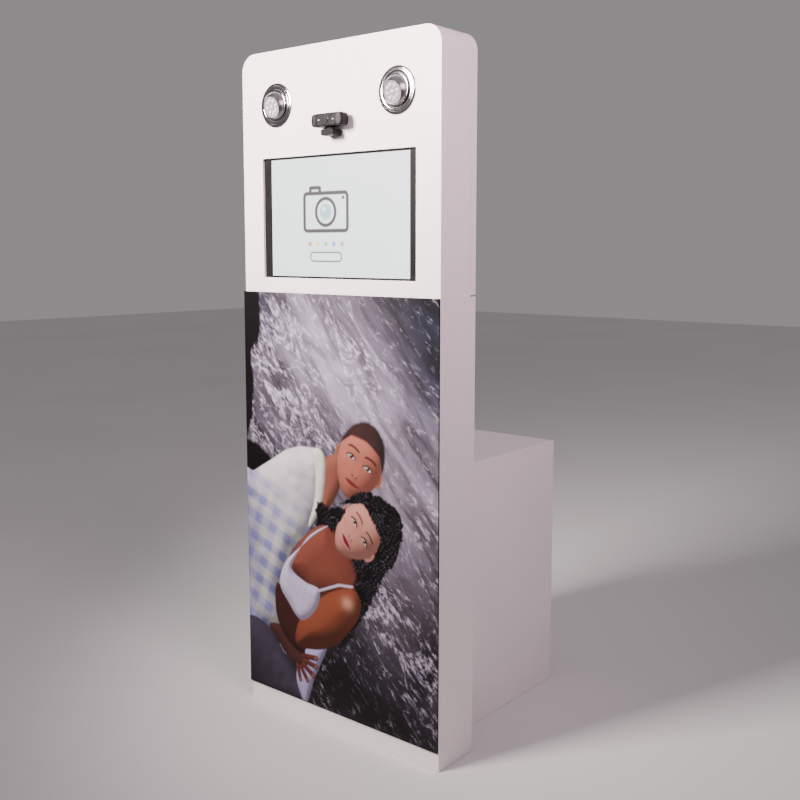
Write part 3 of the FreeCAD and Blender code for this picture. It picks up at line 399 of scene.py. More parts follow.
def lit(depth, roundness, folds=0.0):
    """Brightness of a rounded form: its height rises from the outline as a quarter circle of the
    roundness, folds are added, and the tone is how squarely the slope faces the light."""
    inward = np.clip(depth / roundness, 0, 1)
    height = roundness * np.sqrt(np.clip(1 - (1 - inward) ** 2, 0, 1)) + folds
    for _ in range(6):
        height = (2 * height + sum(np.roll(height, shift, axis) for axis in (0, 1) for shift in (1, -1))) / 6
    slope_z, slope_x = np.gradient(height, panel_up, panel_across)
    facing = LIGHT_FROM[2] - slope_x * LIGHT_FROM[0] - slope_z * LIGHT_FROM[1]
    return 0.35 + 0.9 * np.clip(facing / np.sqrt(1 + slope_x ** 2 + slope_z ** 2), 0, 1.2)


def lay(depth, colour, tone=1.0, soft=1.6, cover=1.0):
    """Prints a colour, times its tone, where depth is positive, feathered over soft millimetres."""
    share = (np.clip(0.5 + depth / (2 * soft), 0, 1) * cover)[..., None]
    shown = np.asarray(tone)[..., None] * colour
    figures[..., :3] = figures[..., :3] * (1 - share) + shown * share
    figures[..., 3] = figures[..., 3] * (1 - share[..., 0]) + share[..., 0]


def limb(points):
    """Depth inside a smooth closed outline on the print."""
    return depth_in(px, pz, smooth_outline(points))


def from_line(start, end):
    """Each point's distance from the straight line between two places, and how far along the line
    its nearest place is, from 0 to 1."""
    run = np.array(end, float) - start
    along = np.clip(((px - start[0]) * run[0] + (pz - start[1]) * run[1]) / (run @ run), 0, 1)
    return np.hypot(px - start[0] - along * run[0], pz - start[1] - along * run[1]), along


ROCK = ink(38, 31, 33)
rock_tone = 0.5 + 1.3 * dapple(px, pz, 14, 3) * dapple(px, pz, 5, 4)
for rock in (
    [(-330, 1080), (-270, 1075), (-258, 990), (-268, 940), (-292, 910), (-286, 820), (-300, 730),
     (-330, 700)],
    [(-330, 672), (-290, 676), (-250, 662), (-222, 640), (-260, 600), (-330, 560)],
):
    lay(limb(rock) + 6 * dapple(px, pz, 12, 5), ROCK, rock_tone, soft=3)

SKIN_TALL = ink(206, 150, 130)
SKIN_CURLY = ink(180, 118, 100)
HAIR = ink(20, 16, 18)
HAIR_GLOSS = ink(158, 148, 156)

# Hair in loose curls, and how much light their strands catch.
curls = 9 * dapple(px, pz, 11, 11) + 5 * dapple(px, pz, 5, 12)
curl_shine = np.sin(px * 0.42 + 9 * dapple(px, pz, 19, 13)) * np.sin(pz * 0.46 + 9 * dapple(px, pz, 17, 14))
curl_light = np.clip(curl_shine - 0.25, 0, 1) * np.clip(1.5 * dapple(px, pz, 26, 15) - 0.25, 0, 1)


def lay_curls(depth, soft, shine, inset=2):
    """Prints curled hair: dark as far as its ragged rim, with glossy strands from the inset inwards."""
    ragged = depth + curls - 7
    lay(ragged, HAIR, soft=soft)
    lay(ragged - inset, HAIR_GLOSS, soft=3, cover=shine * curl_light)


# Long curls behind the second head.
mane = limb([(-38, 516), (-20, 546), (40, 560), (100, 588), (152, 598), (196, 574), (207, 525), (190, 470),
             (150, 415), (122, 365), (98, 325), (72, 290), (34, 226), (2, 218), (40, 270), (60, 330),
             (30, 385), (0, 430), (-20, 480)])
lay_curls(mane, 2.2, 0.75)

# The first figure's shirt: cream at the shoulder, checked blue and cream down the sleeve.
shirt = limb([(-330, 575), (-285, 607), (-219, 645), (-165, 676), (-112, 690), (-62, 690), (-42, 672),
              (-44, 622), (-56, 549), (-97, 481), (-155, 420), (-186, 346), (-205, 300), (-192, 240),
              (-196, 222), (-250, 206), (-330, 202)])
shirt_folds = 7 * dapple(px + 0.75 * pz, pz - 0.4 * px, 26, 21) + 3 * dapple(px + 0.9 * pz, pz * 0.4, 11, 22)
along_sleeve = px * 0.35 + pz * 0.94 + 5 * dapple(px, pz, 40, 23)
across_sleeve = px * 0.94 - pz * 0.35 + 5 * dapple(px, pz, 40, 24)
checks = (0.5 + 0.5 * np.tanh(4 * np.sin(along_sleeve * 0.125))) * 0.55
checks = checks + (0.5 + 0.5 * np.tanh(4 * np.sin(across_sleeve * 0.115))) * 0.35
sleeve = np.clip((600 - pz - 0.55 * (px + 150)) / 130, 0, 1) * np.clip(checks, 0, 1)
shirt_light = lit(shirt, 55, shirt_folds)
lay(shirt, ink(244, 238, 236), 0.82 * shirt_light)
lay(shirt, ink(168, 170, 220), 0.85 * shirt_light, cover=0.85 * sleeve)
between_checks = (1 - sleeve) * np.clip((600 - pz) / 90, 0, 1)
lay(shirt, ink(232, 236, 208), 0.7 * shirt_light, cover=0.30 * between_checks)
lay(shirt, ink(120, 116, 172), 0.9, cover=0.6 * glow(px, pz, (-318, 430), (60, 200)))
lay(shirt, ink(150, 144, 176), 0.9, cover=0.45 * glow(px, pz, (-80, 520), (36, 110), 20))

# Neck and head of the first figure, hair cropped close.
neck = limb([(-50, 655), (-20, 680), (14, 684), (24, 640), (6, 590), (-26, 548), (-48, 556), (-50, 610)])
lay(neck, SKIN_TALL, 0.62 * lit(neck, 30))
collar = limb([(-62, 694), (-40, 682), (-34, 650), (-38, 600), (-50, 550), (-78, 505), (-92, 500), (-72, 560),
               (-66, 630), (-74, 676)])
lay(collar, ink(236, 232, 222), lit(collar, 12, 2 * dapple(px, pz, 14, 25)))


def calm_face(centre, half_height, tilt, skin, brow_weight, lip, eye_shade):
    """A head seen from the front, in units of half its height: an egg whose chin is narrower than
    its crown, brows a fifth above the middle, eyes on the middle line an eye's width apart, nose
    down to two fifths below it, and closed lips at three fifths. Returns its own coordinates."""
    cosine, sine = math.cos(math.radians(tilt)), math.sin(math.radians(tilt))
    side = ((px - centre[0]) * cosine - (pz - centre[1]) * sine) / half_height
    rise = ((px - centre[0]) * sine + (pz - centre[1]) * cosine) / half_height
    width = 0.70 - 0.17 * np.clip(-rise, 0, 1) ** 2 + 0.03 * np.clip(rise, 0, 1)
    egg = (1 - np.sqrt((side / width) ** 2 + rise ** 2)) * half_height * 0.75

    def spot(at_side, at_rise, reach_side, reach_rise):
        return np.exp(-((side - at_side) / reach_side) ** 2 - ((rise - at_rise) / reach_rise) ** 2)

    for ear in (-1, 1):
        ear_depth = (1 - np.hypot((side - ear * 0.70) / 0.10, (rise + 0.08) / 0.20)) * half_height * 0.12
        lay(ear_depth, skin, 0.8 - 0.35 * spot(ear * 0.70, -0.08, 0.05, 0.12))
    light = lit(egg, half_height * 0.62)
    light = light + 0.12 * spot(0, 0.5, 0.35, 0.22) + 0.08 * spot(0.03, -0.26, 0.07, 0.10)
    light = light + 0.06 * (spot(-0.34, -0.30, 0.16, 0.14) + spot(0.34, -0.30, 0.16, 0.14))
    light = light - 0.20 * (spot(-0.29, 0.08, 0.20, 0.08) + spot(0.29, 0.08, 0.20, 0.08))
    light = light - 0.13 * (spot(0.10, -0.10, 0.04, 0.22) + spot(0.02, -0.47, 0.10, 0.04))
    light = light - 0.15 * spot(0, -0.76, 0.16, 0.05) - 0.25 * np.clip(-rise - 0.86, 0, 1)
    lay(egg, skin, light)
    flush = spot(-0.38, -0.30, 0.15, 0.13) + spot(0.38, -0.30, 0.15, 0.13)
    lay(egg, ink(176, 84, 70), light, cover=0.22 * flush)
    for eye in (-1, 1):
        from_eye = side - eye * 0.29
        lid = rise - 0.055 * (1 - (from_eye / 0.14) ** 2)
        lower_lid = rise + 0.050 * (1 - (from_eye / 0.14) ** 2)
        white = np.minimum(-lid, lower_lid) * half_height
        lay(white, ink(225, 215, 208), 0.9, soft=0.8)
        iris = (0.055 - np.hypot(from_eye, rise - 0.005)) * half_height
        lay(np.minimum(iris, white), ink(52, 34, 26), 1.0, soft=0.8)
        glint = (0.022 - np.hypot(from_eye + 0.02, rise - 0.025)) * half_height
        lay(np.minimum(glint, white), ink(235, 232, 230), 1.0, soft=0.8, cover=0.8)
        lash = (0.024 - np.abs(lid)) * half_height - 60 * np.clip(np.abs(from_eye) - 0.15, 0, 1)
        lay(lash, HAIR, 1.0, soft=1.0, cover=eye_shade)
        brow_line = 0.20 + 0.05 * (1 - (from_eye / 0.22) ** 2)
        brow_end = 70 * np.clip(np.abs(from_eye) - 0.17, 0, 1)
        lay((brow_weight - np.abs(rise - brow_line)) * half_height - brow_end, HAIR, 1.2, cover=0.85)
        nostril = (0.024 - np.hypot((side - eye * 0.065) * 0.8, rise + 0.40)) * half_height
        lay(nostril, ink(92, 44, 36), 1.0, soft=1.2, cover=0.75)
    bow = 0.028 * np.cos(side / 0.085) * (np.abs(side) < 0.27)
    lips_top = -0.575 + 0.045 * np.clip(1 - (side / 0.24) ** 2, 0, 1) - np.abs(bow) * 0.3
    lips_low = -0.585 - 0.075 * np.clip(1 - (side / 0.22) ** 2, 0, 1)
    lips = np.minimum(lips_top - rise, rise - lips_low) * half_height
    mouth = lips - 60 * np.clip(np.abs(side) - 0.23, 0, 1)
    lay(mouth, lip, 0.95 + 0.25 * spot(-0.04, -0.635, 0.10, 0.02), soft=1.2)
    parting = (0.011 - np.abs(rise + 0.583 + 0.02 * np.cos(side / 0.12))) * half_height
    lay(parting - 60 * np.clip(np.abs(side) - 0.24, 0, 1), ink(78, 30, 30), 1.0, soft=1.0, cover=0.85)
    return side, rise, egg


TALL_HALF_HEAD = 98
side, rise, egg = calm_face((77, 676), TALL_HALF_HEAD, 25, SKIN_TALL, 0.030, ink(168, 92, 84), 0.8)
hairline = 0.56 - 0.30 * np.abs(side) ** 1.5 - 1.1 * np.clip(np.abs(side) - 0.5, 0, 1)
cropped_hair = np.minimum((rise - hairline) * TALL_HALF_HEAD, egg + 3)
crop_tone = 0.6 + 0.9 * dapple(px, pz, 3, 31) * dapple(px, pz, 20, 32)
lay(cropped_hair, ink(62, 56, 58), crop_tone, soft=3, cover=0.93)

side_hair = limb([(-62, 560), (-40, 556), (-6, 548), (8, 520), (-14, 486), (-42, 478), (-64, 510)])
lay_curls(side_hair, 2.2, 0.7)

# Chest, neck and face of the second figure, who leans in from the right under the curls.
chest = limb([(-36, 508), (10, 470), (42, 430), (52, 395), (62, 372), (62, 345), (-60, 330), (-110, 350),
              (-160, 388), (-140, 430), (-100, 474)])
lay(chest, SKIN_CURLY, 0.86 * lit(chest, 60, 4 * dapple(px, pz, 60, 41)))
throat = limb([(-8, 500), (40, 452), (64, 400), (40, 385), (-10, 430), (-36, 490)])
lay(throat, SKIN_CURLY, 0.72, soft=6, cover=0.7)
CURLY_HALF_HEAD = 90
CURLY_FACE = ink(218, 176, 160)
side, rise, egg = calm_face((76, 512), CURLY_HALF_HEAD, 54, CURLY_FACE, 0.026, ink(176, 62, 96), 1.0)
fringe_line = 0.60 - 0.20 * np.abs(side) ** 2 - 1.6 * np.clip(np.abs(side) - 0.52, 0, 1)
lay_curls(np.minimum((rise - fringe_line) * CURLY_HALF_HEAD, 20 + egg), 2.0, 0.75)
near_curls = limb([(-36, 530), (-22, 552), (10, 560), (34, 560), (22, 536), (2, 512), (-16, 500)])
lay_curls(near_curls, 2.0, 0.7, inset=0)

# The first figure's trousers, forearm and hand, and the second's skirt, arms and dotted top.
trousers = limb([(-330, 205), (-245, 210), (-200, 165), (-176, 140), (-140, 100), (-112, 40), (-330, 20)])
trouser_light = lit(trousers, 40, 6 * dapple(px + pz, pz - px, 30, 51))
fading_down = np.clip(0.25 + (pz - 60 + 0.6 * (px + 300)) / 170, 0.1, 1)
lay(trousers, ink(112, 100, 114), trouser_light * fading_down)
skirt = limb([(-128, 150), (-100, 185), (-34, 208), (-58, 150), (-80, 105), (-106, 40), (-132, 70),
              (-140, 105)])
lay(skirt, ink(222, 214, 230), 0.8 * lit(skirt, 22, 3 * dapple(px + 0.4 * pz, pz * 0.4, 12, 52)))
forearm = limb([(-238, 214), (-192, 222), (-158, 200), (-128, 178), (-104, 168), (-96, 150), (-118, 128),
                (-150, 132), (-172, 148), (-206, 180)])
lay(forearm, ink(128, 84, 76), 0.8 * lit(forearm, 24))
NAIL = 3.4
for knuckle, tip, girth in (
    ((-112, 162), (-70, 166), 7),
    ((-110, 150), (-70, 144), 7),
    ((-114, 138), (-80, 119), 7),
    ((-124, 130), (-101, 101), 6.5),
    ((-136, 132), (-126, 97), 6),
):
    from_bone, along = from_line(knuckle, tip)
    finger = girth - from_bone
    lay(finger, ink(150, 92, 78), 0.85 * lit(finger, girth), soft=1.2)
    lay(NAIL - from_bone, ink(206, 160, 150), 1.0, soft=1.2, cover=0.5 * (along > 0.85))
far_arm = limb([(-206, 330), (-170, 300), (-118, 262), (-110, 200), (-112, 168), (-150, 176), (-196, 216),
                (-214, 270)])
lay(far_arm, ink(112, 70, 62), 0.75 * lit(far_arm, 34))
arm = limb([(-58, 318), (-20, 345), (34, 366), (66, 362), (80, 335), (70, 300), (50, 272), (6, 224),
            (-40, 198), (-82, 186), (-132, 182), (-142, 210), (-122, 262), (-98, 276)])
arm_light = lit(arm, 62, 3 * dapple(px, pz, 40, 53)) - 0.35 * glow(px, pz, (-60, 205), (110, 34), 12)
lay(arm, ink(176, 112, 86), np.clip(arm_light, 0.25, 2))
lay(arm, ink(236, 206, 184), 1.0, soft=4, cover=0.6 * glow(px, pz, (36, 330), (18, 15)))
top = limb([(-26, 508), (-60, 486), (-104, 452), (-138, 424), (-176, 388), (-196, 330), (-164, 286),
            (-120, 252), (-70, 290), (-57, 342), (-104, 352), (-152, 374), (-138, 412), (-100, 462),
            (-60, 492)])
lay(top, ink(238, 230, 238), 0.8 * lit(top, 26, 3 * dapple(px + pz, pz, 24, 54)))
dots = np.sin(px * 0.55 + 0.3 * pz) * np.sin(pz * 0.55 - 0.2 * px)
lay(np.minimum(top - 3, (dots - 0.80) * 8), ink(120, 100, 160), 1.0, soft=1.0, cover=0.7)
for start, end in (((-58, 341), (8, 369)), ((8, 369), (52, 374))):
    from_strap, _ = from_line(start, end)
    lay(3.0 - from_strap, ink(226, 216, 222), 1.0)
store_picture(printed_panel, "figures", figures)

# Water under the sea's colour, foam as lace along its ridges, and glints, all drawn out up the print.
SEA_RUN = (0, -math.radians(47), 0)
sea_paint = shader_node(tree, "Attribute", attribute_name="sea")
figure_paint = shader_node(tree, "Attribute", attribute_name="figures")
ripple = grain(tree, 22, 6, stretch=(0.22, 1, 1), turn=SEA_RUN, distortion=0.9, rough=0.6)
swell = grain(tree, 6, 3, stretch=(0.35, 1, 1), turn=SEA_RUN, distortion=0.4)
glint = grain(tree, 90, 3, stretch=(0.3, 1, 1), turn=SEA_RUN)
water = between(tree, spread(tree, ripple, 0, 1, 0.34, 0.66), (0.40, 0.38, 0.37), (1.55, 1.55, 1.62))
water = between(tree, 1.0, water, sea_paint.outputs["Color"], blend="MULTIPLY")
ridge = grain(tree, 17, 7, stretch=(0.40, 1, 1), turn=SEA_RUN, distortion=1.1, rough=0.62)
ridge = maths(tree, "ABSOLUTE", maths(tree, "SUBTRACT", ridge, 0.5))
lace = maths(tree, "ADD", spread(tree, ridge, 0.62, 0, 0, 0.07), spread(tree, swell, 0, 0.55, 0.3, 0.7))
lace = maths(tree, "MULTIPLY_ADD", sea_paint.outputs["Alpha"], 0.62, lace)
fleck = grain(tree, 90, 6, stretch=(0.45, 1, 1), turn=SEA_RUN, rough=0.65)
lace = maths(tree, "ADD", lace, spread(tree, fleck, -0.55, 0.55, 0.3, 0.7))
froth = spread(tree, lace, 0, 0.72, 0.80, 1.75, smooth=True)
water = between(tree, froth, water, tuple(ink(240, 232, 238)))
water = between(tree, spread(tree, glint, 0, 0.18, 0.58, 0.76), water, tuple(ink(232, 226, 234)))
water = between(tree, figure_paint.outputs["Alpha"], water, (0.0, 0.0, 0.0))
whole_print = between(tree, 1.0, water, figure_paint.outputs["Color"], blend="ADD")
tree.links.new(whole_print, shader.inputs["Base Color"])
press(tree, shader, grain(tree, 900, 2), 0.00001)
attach(printed_panel, "booth")
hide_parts("graphic_panel")

# ---------------------------------------------------------------- monitor in its opening
# A 20 inch panel monitor clamped behind the face: black moulded bezel, a hollow rear cover with
# vent grooves, steel clamps, and its lit glass, which shows a plain waiting picture.
black_moulding = mottled("black_moulding", (0.004, 0.0037, 0.004), (0.007, 0.0065, 0.007), 30, (0.45, 0.6),
                         2600, 0.00003, Specular_IOR_Level=0.12)
dark_steel = mottled("powder_coated_steel", (0.035, 0.035, 0.037), (0.045, 0.045, 0.047), 40, (0.5, 0.6),
                     1800, 0.00004, Metallic=0.3)
eased("monitor_bezel", black_moulding, ease=0.5)
eased("monitor_back_cover", black_moulding, ease=1.5)
eased("monitor_brackets", dark_steel, ease=0.3)

SCREEN_LOW, SCREEN_HIGH = (np.array(corner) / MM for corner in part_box("monitor_screen"))
SCREEN_STEP = 1.45
screen_across, screen_up = (
    even_steps((start, end, int((end - start) / SCREEN_STEP)))
    for start, end in zip(SCREEN_LOW[[0, 2]], SCREEN_HIGH[[0, 2]])
)
display_finish, tree, shader = new_finish("lit_display", Roughness=0.28, Emission_Strength=2.6)
screen, px, pz = pictured_slab("monitor_glass", screen_across, screen_up, SCREEN_LOW[1], SCREEN_HIGH[1],
                               display_finish)
SIGN_X = -38.0
SIGN_Z = (SCREEN_LOW[2] + SCREEN_HIGH[2]) / 2 + 12


def rounded_block(centre, half_width, half_height, corner):
    """Depth inside an upright block with round corners: the corner radius less the distance from
    the smaller block of the corners' centres."""
    side = np.abs(px - centre[0]) - half_width + corner
    rise = np.abs(pz - centre[1]) - half_height + corner
    outside = np.hypot(np.clip(side, 0, None), np.clip(rise, 0, None))
    return corner - outside - np.minimum(np.maximum(side, rise), 0)


# The waiting picture: a plain camera sign in outline, a row of pastel dots and a button shape.
figures = np.ones((*px.shape, 4))
cool = np.clip(0.5 + (pz - SIGN_Z) / 420 + (px - SIGN_X) / 900, 0, 1)[..., None]
figures[..., :3] = np.array([0.80, 0.90, 0.90]) * (1 - cool) + np.array([0.90, 0.93, 0.94]) * cool
SIGN_GREY = np.array([0.075, 0.068, 0.072])
sign_hump = rounded_block((SIGN_X - 34, SIGN_Z + 50), 20, 11, 6)
sign_body = np.maximum(rounded_block((SIGN_X, SIGN_Z), 74, 48, 13), sign_hump)
lay(4.5 - np.abs(sign_body - 4.5), SIGN_GREY, soft=0.9)
from_lens = np.hypot(px - SIGN_X, pz - SIGN_Z)
lay(4.2 - np.abs(from_lens - 31), SIGN_GREY, soft=0.9)
lay(18.5 - from_lens, np.array([0.36, 0.60, 0.66]), soft=0.9)
lay(6.0 - np.hypot(px - SIGN_X + 6, pz - SIGN_Z - 7), np.array([0.86, 0.92, 0.93]), soft=0.9)
lay(4.2 - np.hypot(px - SIGN_X - 56, pz - SIGN_Z - 32), SIGN_GREY, soft=0.9)
PASTELS = ((0.75, 0.30, 0.26), (0.85, 0.66, 0.30), (0.30, 0.62, 0.42), (0.25, 0.42, 0.72), (0.62, 0.30, 0.60))
DOT_PITCH = 26
for place, pastel in enumerate(PASTELS):
    from_dot = np.hypot(px - SIGN_X - (place - 2) * DOT_PITCH, pz - SIGN_Z + 74)
    lay(6.0 - from_dot, np.array(pastel), soft=0.9)
button_shape = rounded_block((SIGN_X, SIGN_Z - 104), 52, 12, 12)
lay(1.6 - np.abs(button_shape - 1.6), SIGN_GREY, soft=0.9)
store_picture(screen, "figures", figures)
picture = shader_node(tree, "Attribute", attribute_name="figures").outputs["Color"]
backlight = spread(tree, grain(tree, 9, 2), 0.97, 1.0, 0.3, 0.7)
tree.links.new(between(tree, backlight, (0.0, 0.0, 0.0), picture), shader.inputs["Emission Color"])
tree.links.new(between(tree, 0.06, (0.0, 0.0, 0.0), picture), shader.inputs["Base Color"])
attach(screen, "booth")
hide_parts("monitor_screen")

# ---------------------------------------------------------------- lamps
# Each lamp is a polished trim pressed into the face, a swivel ring in it, an eyeball on two pins in
# the ring and a 50 mm LED lamp with eight small lenses round a middle one.
polished = mottled("polished_chrome", (0.42, 0.40, 0.41), (0.36, 0.34, 0.355), 60, (0.07, 0.14),
                   3000, 0.000004, Metallic=1.0)
satin_nickel = mottled("satin_nickel", (0.25, 0.23, 0.25), (0.19, 0.175, 0.19), 50, (0.22, 0.32),
                       4000, 0.00001, Metallic=1.0)
# Painted shade: the deep groove between the trim and the swivel ring is coloured near black to stand in for
# the shade that falls in it.
painted_groove_shade = mottled("painted_shade_groove", (0.012, 0.011, 0.012), (0.02, 0.018, 0.02), 60, (0.4, 0.5),
                     2000, 0.00002)
lens_plastic = mottled("lamp_lens_plastic", (0.52, 0.48, 0.53), (0.42, 0.385, 0.43), 120, (0.12, 0.26),
                       2500, 0.00002, Coat_Weight=0.5, Coat_Roughness=0.08)
lamp_reflector = mottled("lamp_reflector", (0.30, 0.275, 0.31), (0.25, 0.225, 0.255), 120, (0.2, 0.34),
                         2500, 0.00002)
spring_steel = mottled("spring_steel", (0.42, 0.42, 0.43), (0.30, 0.30, 0.31), 120, (0.25, 0.4),
                       3000, 0.00001, Metallic=1.0)
TURNING_STEPS = 96


def nodded(points, tilt, centre):
    """Points nodded down about the left-to-right axis by the tilt, then moved to the centre."""
    cosine, sine = math.cos(math.radians(tilt)), math.sin(math.radians(tilt))
    return points @ np.array([[1, 0, 0], [0, cosine, sine], [0, -sine, cosine]]) + centre


def turned_shell(name, radii, depths, centre, finish, tilt=0.0, steps=TURNING_STEPS):
    """A part turned about the front-to-back axis: each point of its closed outline is carried round
    a circle of its radius, then the part is nodded down about its centre by the tilt."""
    angle = np.arange(steps) / steps * 2 * math.pi
    radii, depths = np.asarray(radii, float), np.asarray(depths, float)
    rings = np.stack([np.outer(np.cos(angle), radii), np.outer(np.ones(steps), depths),
                      np.outer(np.sin(angle), radii)], -1)
    index = np.arange(steps * len(radii)).reshape(steps, -1)
    next_ring, next_point = np.roll(index, -1, 0), np.roll(index, -1, 1)
    faces = np.stack([index, next_ring, np.roll(next_ring, -1, 1), next_point], -1).reshape(-1, 4)
    shell = add_piece(name, nodded(rings.reshape(-1, 3), tilt, centre) * MM, faces, finish)
    form = bmesh.new()
    form.from_mesh(shell.data)
    bmesh.ops.remove_doubles(form, verts=form.verts, dist=1e-6)
    bmesh.ops.recalc_face_normals(form, faces=form.faces)
    loose = [edge for edge in form.edges if not edge.link_faces]
    bmesh.ops.delete(form, geom=loose, context="EDGES")
    form.to_mesh(shell.data)
    form.free()
    shell.data.set_sharp_from_angle(angle=math.radians(32))
    return shell


def dress(piece, body, node):
    """Mounts a finished piece on its body in the place of a node."""
    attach(piece, body)
    if node:
        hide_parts(node)


FACE_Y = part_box("head_front_panel")[0].y / MM
TRIM_RADII = [41.5, 52.0, 52.0, 51.4, 49.5, 46.6, 45.8, 45.6, 45.4, 44.8,
              43.6, 41.8, 40.2, 38.9, 38.3, 38.3, 39.6, 39.6, 41.5]
TRIM_DEPTHS = [0.0, 0.0, -1.0, -1.9, -2.7, -3.3, -3.2, -2.6, -4.2, -4.9,
               -5.2, -5.2, -5.0, -4.7, -4.3, -3.5, -3.5, 16.0, 16.0]
RING_RADII = [39.2, 39.2, 35.7, 35.7, 35.4, 34.9, 34.2, 33.7, 33.5, 33.6, 35.3, 35.3]
RING_DEPTHS = [8.0, -2.9, -2.9, -6.2, -6.8, -7.0, -7.0, -6.6, -6.0, -5.4, 2.0, 8.0]
GROOVE_RADIUS = 35.72
BALL_RADIUS = 35.0
BALL_BORE = 24.6
BALL_MOUTH = 25.6
BALL_DEPTH = 5.0
NOD = 15.0
ball_arc = np.linspace(math.acos(BALL_MOUTH / BALL_RADIUS), -math.pi / 2 + 0.95, 26)
BALL_RADII = [BALL_BORE, BALL_BORE, 25.0, *(BALL_RADIUS * np.cos(ball_arc)), BALL_BORE]
BALL_DEPTHS = [18.0, -22.6, -23.7, *(-BALL_RADIUS * np.sin(ball_arc)), 18.0]
LED_FACE = -21.9
LED_RADII = [0, 21.4, 22.0, 22.8, 23.7, 24.3, 24.3, 23.6, 15.5, 12.5, 12.5, 0]
LED_DEPTHS = [LED_FACE, LED_FACE, -22.6, -23.1, -23.1, -22.6, -14.6, -13.2, 14.0, 14.0, 29.4, 29.4]
LENS_RADIUS = 5.0
LENS_RING = 14.6
LENS_RISE = 0.36


def lens_cluster(name, centre, tilt, finish):
    """One lens in the middle of the lamp's face and eight round it: each is a dome whose radius falls
    as the cosine of its lift and whose height rises as the sine, closed by a flat below."""
    turn = np.radians(np.arange(8) * 45 + 10)
    places = np.concatenate([[[0, 0]], LENS_RING * np.stack([np.cos(turn), np.sin(turn)], 1)])
    lift, around = np.meshgrid(np.radians([0, 28, 55, 76]), np.radians(np.arange(0, 360, 24)), indexing="ij")
    reach = np.cos(lift)
    dome = np.stack([reach * np.cos(around), -LENS_RISE * np.sin(lift), reach * np.sin(around)], -1)
    dome = np.concatenate([dome.reshape(-1, 3), [[0, -LENS_RISE, 0]]]) * LENS_RADIUS
    index = np.arange(lift.size).reshape(lift.shape)
    beside = np.roll(index, -1, 1)
    quads = np.stack([index[:-1], beside[:-1], beside[1:], index[1:]], -1).reshape(-1, 4)
    top = [[a, b, lift.size] for a, b in zip(index[-1], beside[-1])]
    one = quads.tolist() + top + [index[0, ::-1].tolist()]
    points = dome[None] + np.stack([places[:, 0], np.full(len(places), LED_FACE), places[:, 1]], -1)[:, None]
    faces = [[corner + row * len(dome) for corner in face] for row in range(len(places)) for face in one]
    return add_piece(name, nodded(points.reshape(-1, 3), tilt, centre) * MM, faces, finish)


for side in ("left", "right"):
    low, high = (np.array(corner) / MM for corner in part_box(side + "_trim_ring"))
    middle = (low + high) / 2
    at_face = np.array([middle[0], FACE_Y, middle[2]])
    ball = at_face + (0, BALL_DEPTH, 0)
    trim = turned_shell(side + "_lamp_trim", TRIM_RADII, TRIM_DEPTHS, at_face, polished)
    dress(trim, "booth", side + "_trim_ring")
    ring = turned_shell(side + "_lamp_swivel", RING_RADII, RING_DEPTHS, at_face, polished)
    # The swivel ring's faces out past the groove radius, down in the groove, take the painted shade.
    ring.data.materials.append(painted_groove_shade)
    face_centres = np.array([face.center for face in ring.data.polygons]) / MM - at_face
    painted_shade_faces = np.hypot(face_centres[:, 0], face_centres[:, 2]) > GROOVE_RADIUS
    ring.data.polygons.foreach_set("material_index", painted_shade_faces.astype(int))
    dress(ring, side + "_swivel", side + "_swivel_ring")
    eyeball = turned_shell(side + "_lamp_eyeball", BALL_RADII, BALL_DEPTHS, ball, satin_nickel, NOD)
    dress(eyeball, side + "_eye", side + "_eyeball")
    bulb = turned_shell(side + "_lamp_bulb", LED_RADII, LED_DEPTHS, ball, lamp_reflector, NOD)
    dress(bulb, side + "_eye", side + "_led_lamp")
    dress(lens_cluster(side + "_lamp_lenses", ball, NOD, lens_plastic), side + "_eye", None)


def finished(node, finish):
    """A node whose shape is right already, in its finish."""
    for place in frame["nodes"][node].material_slots:
        place.material = finish


finished("lamp_springs", spring_steel)

# ---------------------------------------------------------------- webcam
# A small moulded camera on a folding clip over the opening's top: a satin black body with swept
# ends and a greyer grille at each, a glossy front plate, a ringed lens and two small lights.
plate_low, plate_high = (np.array(corner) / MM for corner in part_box("webcam_front_plate"))
PLATE_Y = plate_low[1]
WEBCAM_X, WEBCAM_Z = ((plate_low + plate_high) / 2)[[0, 2]]
webcam_shell, tree, shader = new_finish("webcam_shell", Roughness=0.5, Specular_IOR_Level=0.12)
place = shader_node(tree, "SeparateXYZ", {0: shader_node(tree, "TexCoord").outputs["Object"]})
from_middle = maths(tree, "ABSOLUTE", maths(tree, "SUBTRACT", place.outputs[0], WEBCAM_X * MM))
past_plate = spread(tree, from_middle, 0, 1, 0.0325, 0.0331)
before_end = spread(tree, from_middle, 1, 0, 0.0414, 0.0420)
grille = maths(tree, "MULTIPLY", past_plate, before_end)
cloud = spread(tree, grain(tree, 60, 3), 0, 1, 0.3, 0.7)
shell_black = between(tree, cloud, (0.003, 0.0028, 0.003), (0.005, 0.0047, 0.005))
shell_grey = between(tree, cloud, (0.020, 0.018, 0.020), (0.026, 0.024, 0.026))
tree.links.new(between(tree, grille, shell_black, shell_grey), shader.inputs["Base Color"])
press(tree, shader, grain(tree, 2400, 2), 0.00003)
eased("webcam_body", webcam_shell, ease=1.0)
eased("webcam_clip", black_moulding, ease=0.8)
gloss_plate = mottled("glossy_front_plate", (0.014, 0.0125, 0.0135), (0.019, 0.017, 0.0185), 60, (0.2, 0.28),
                      3000, 0.000004, Specular_IOR_Level=0.3)
eased("webcam_front_plate", gloss_plate, ease=0.4)
finished("webcam_lead", black_moulding)

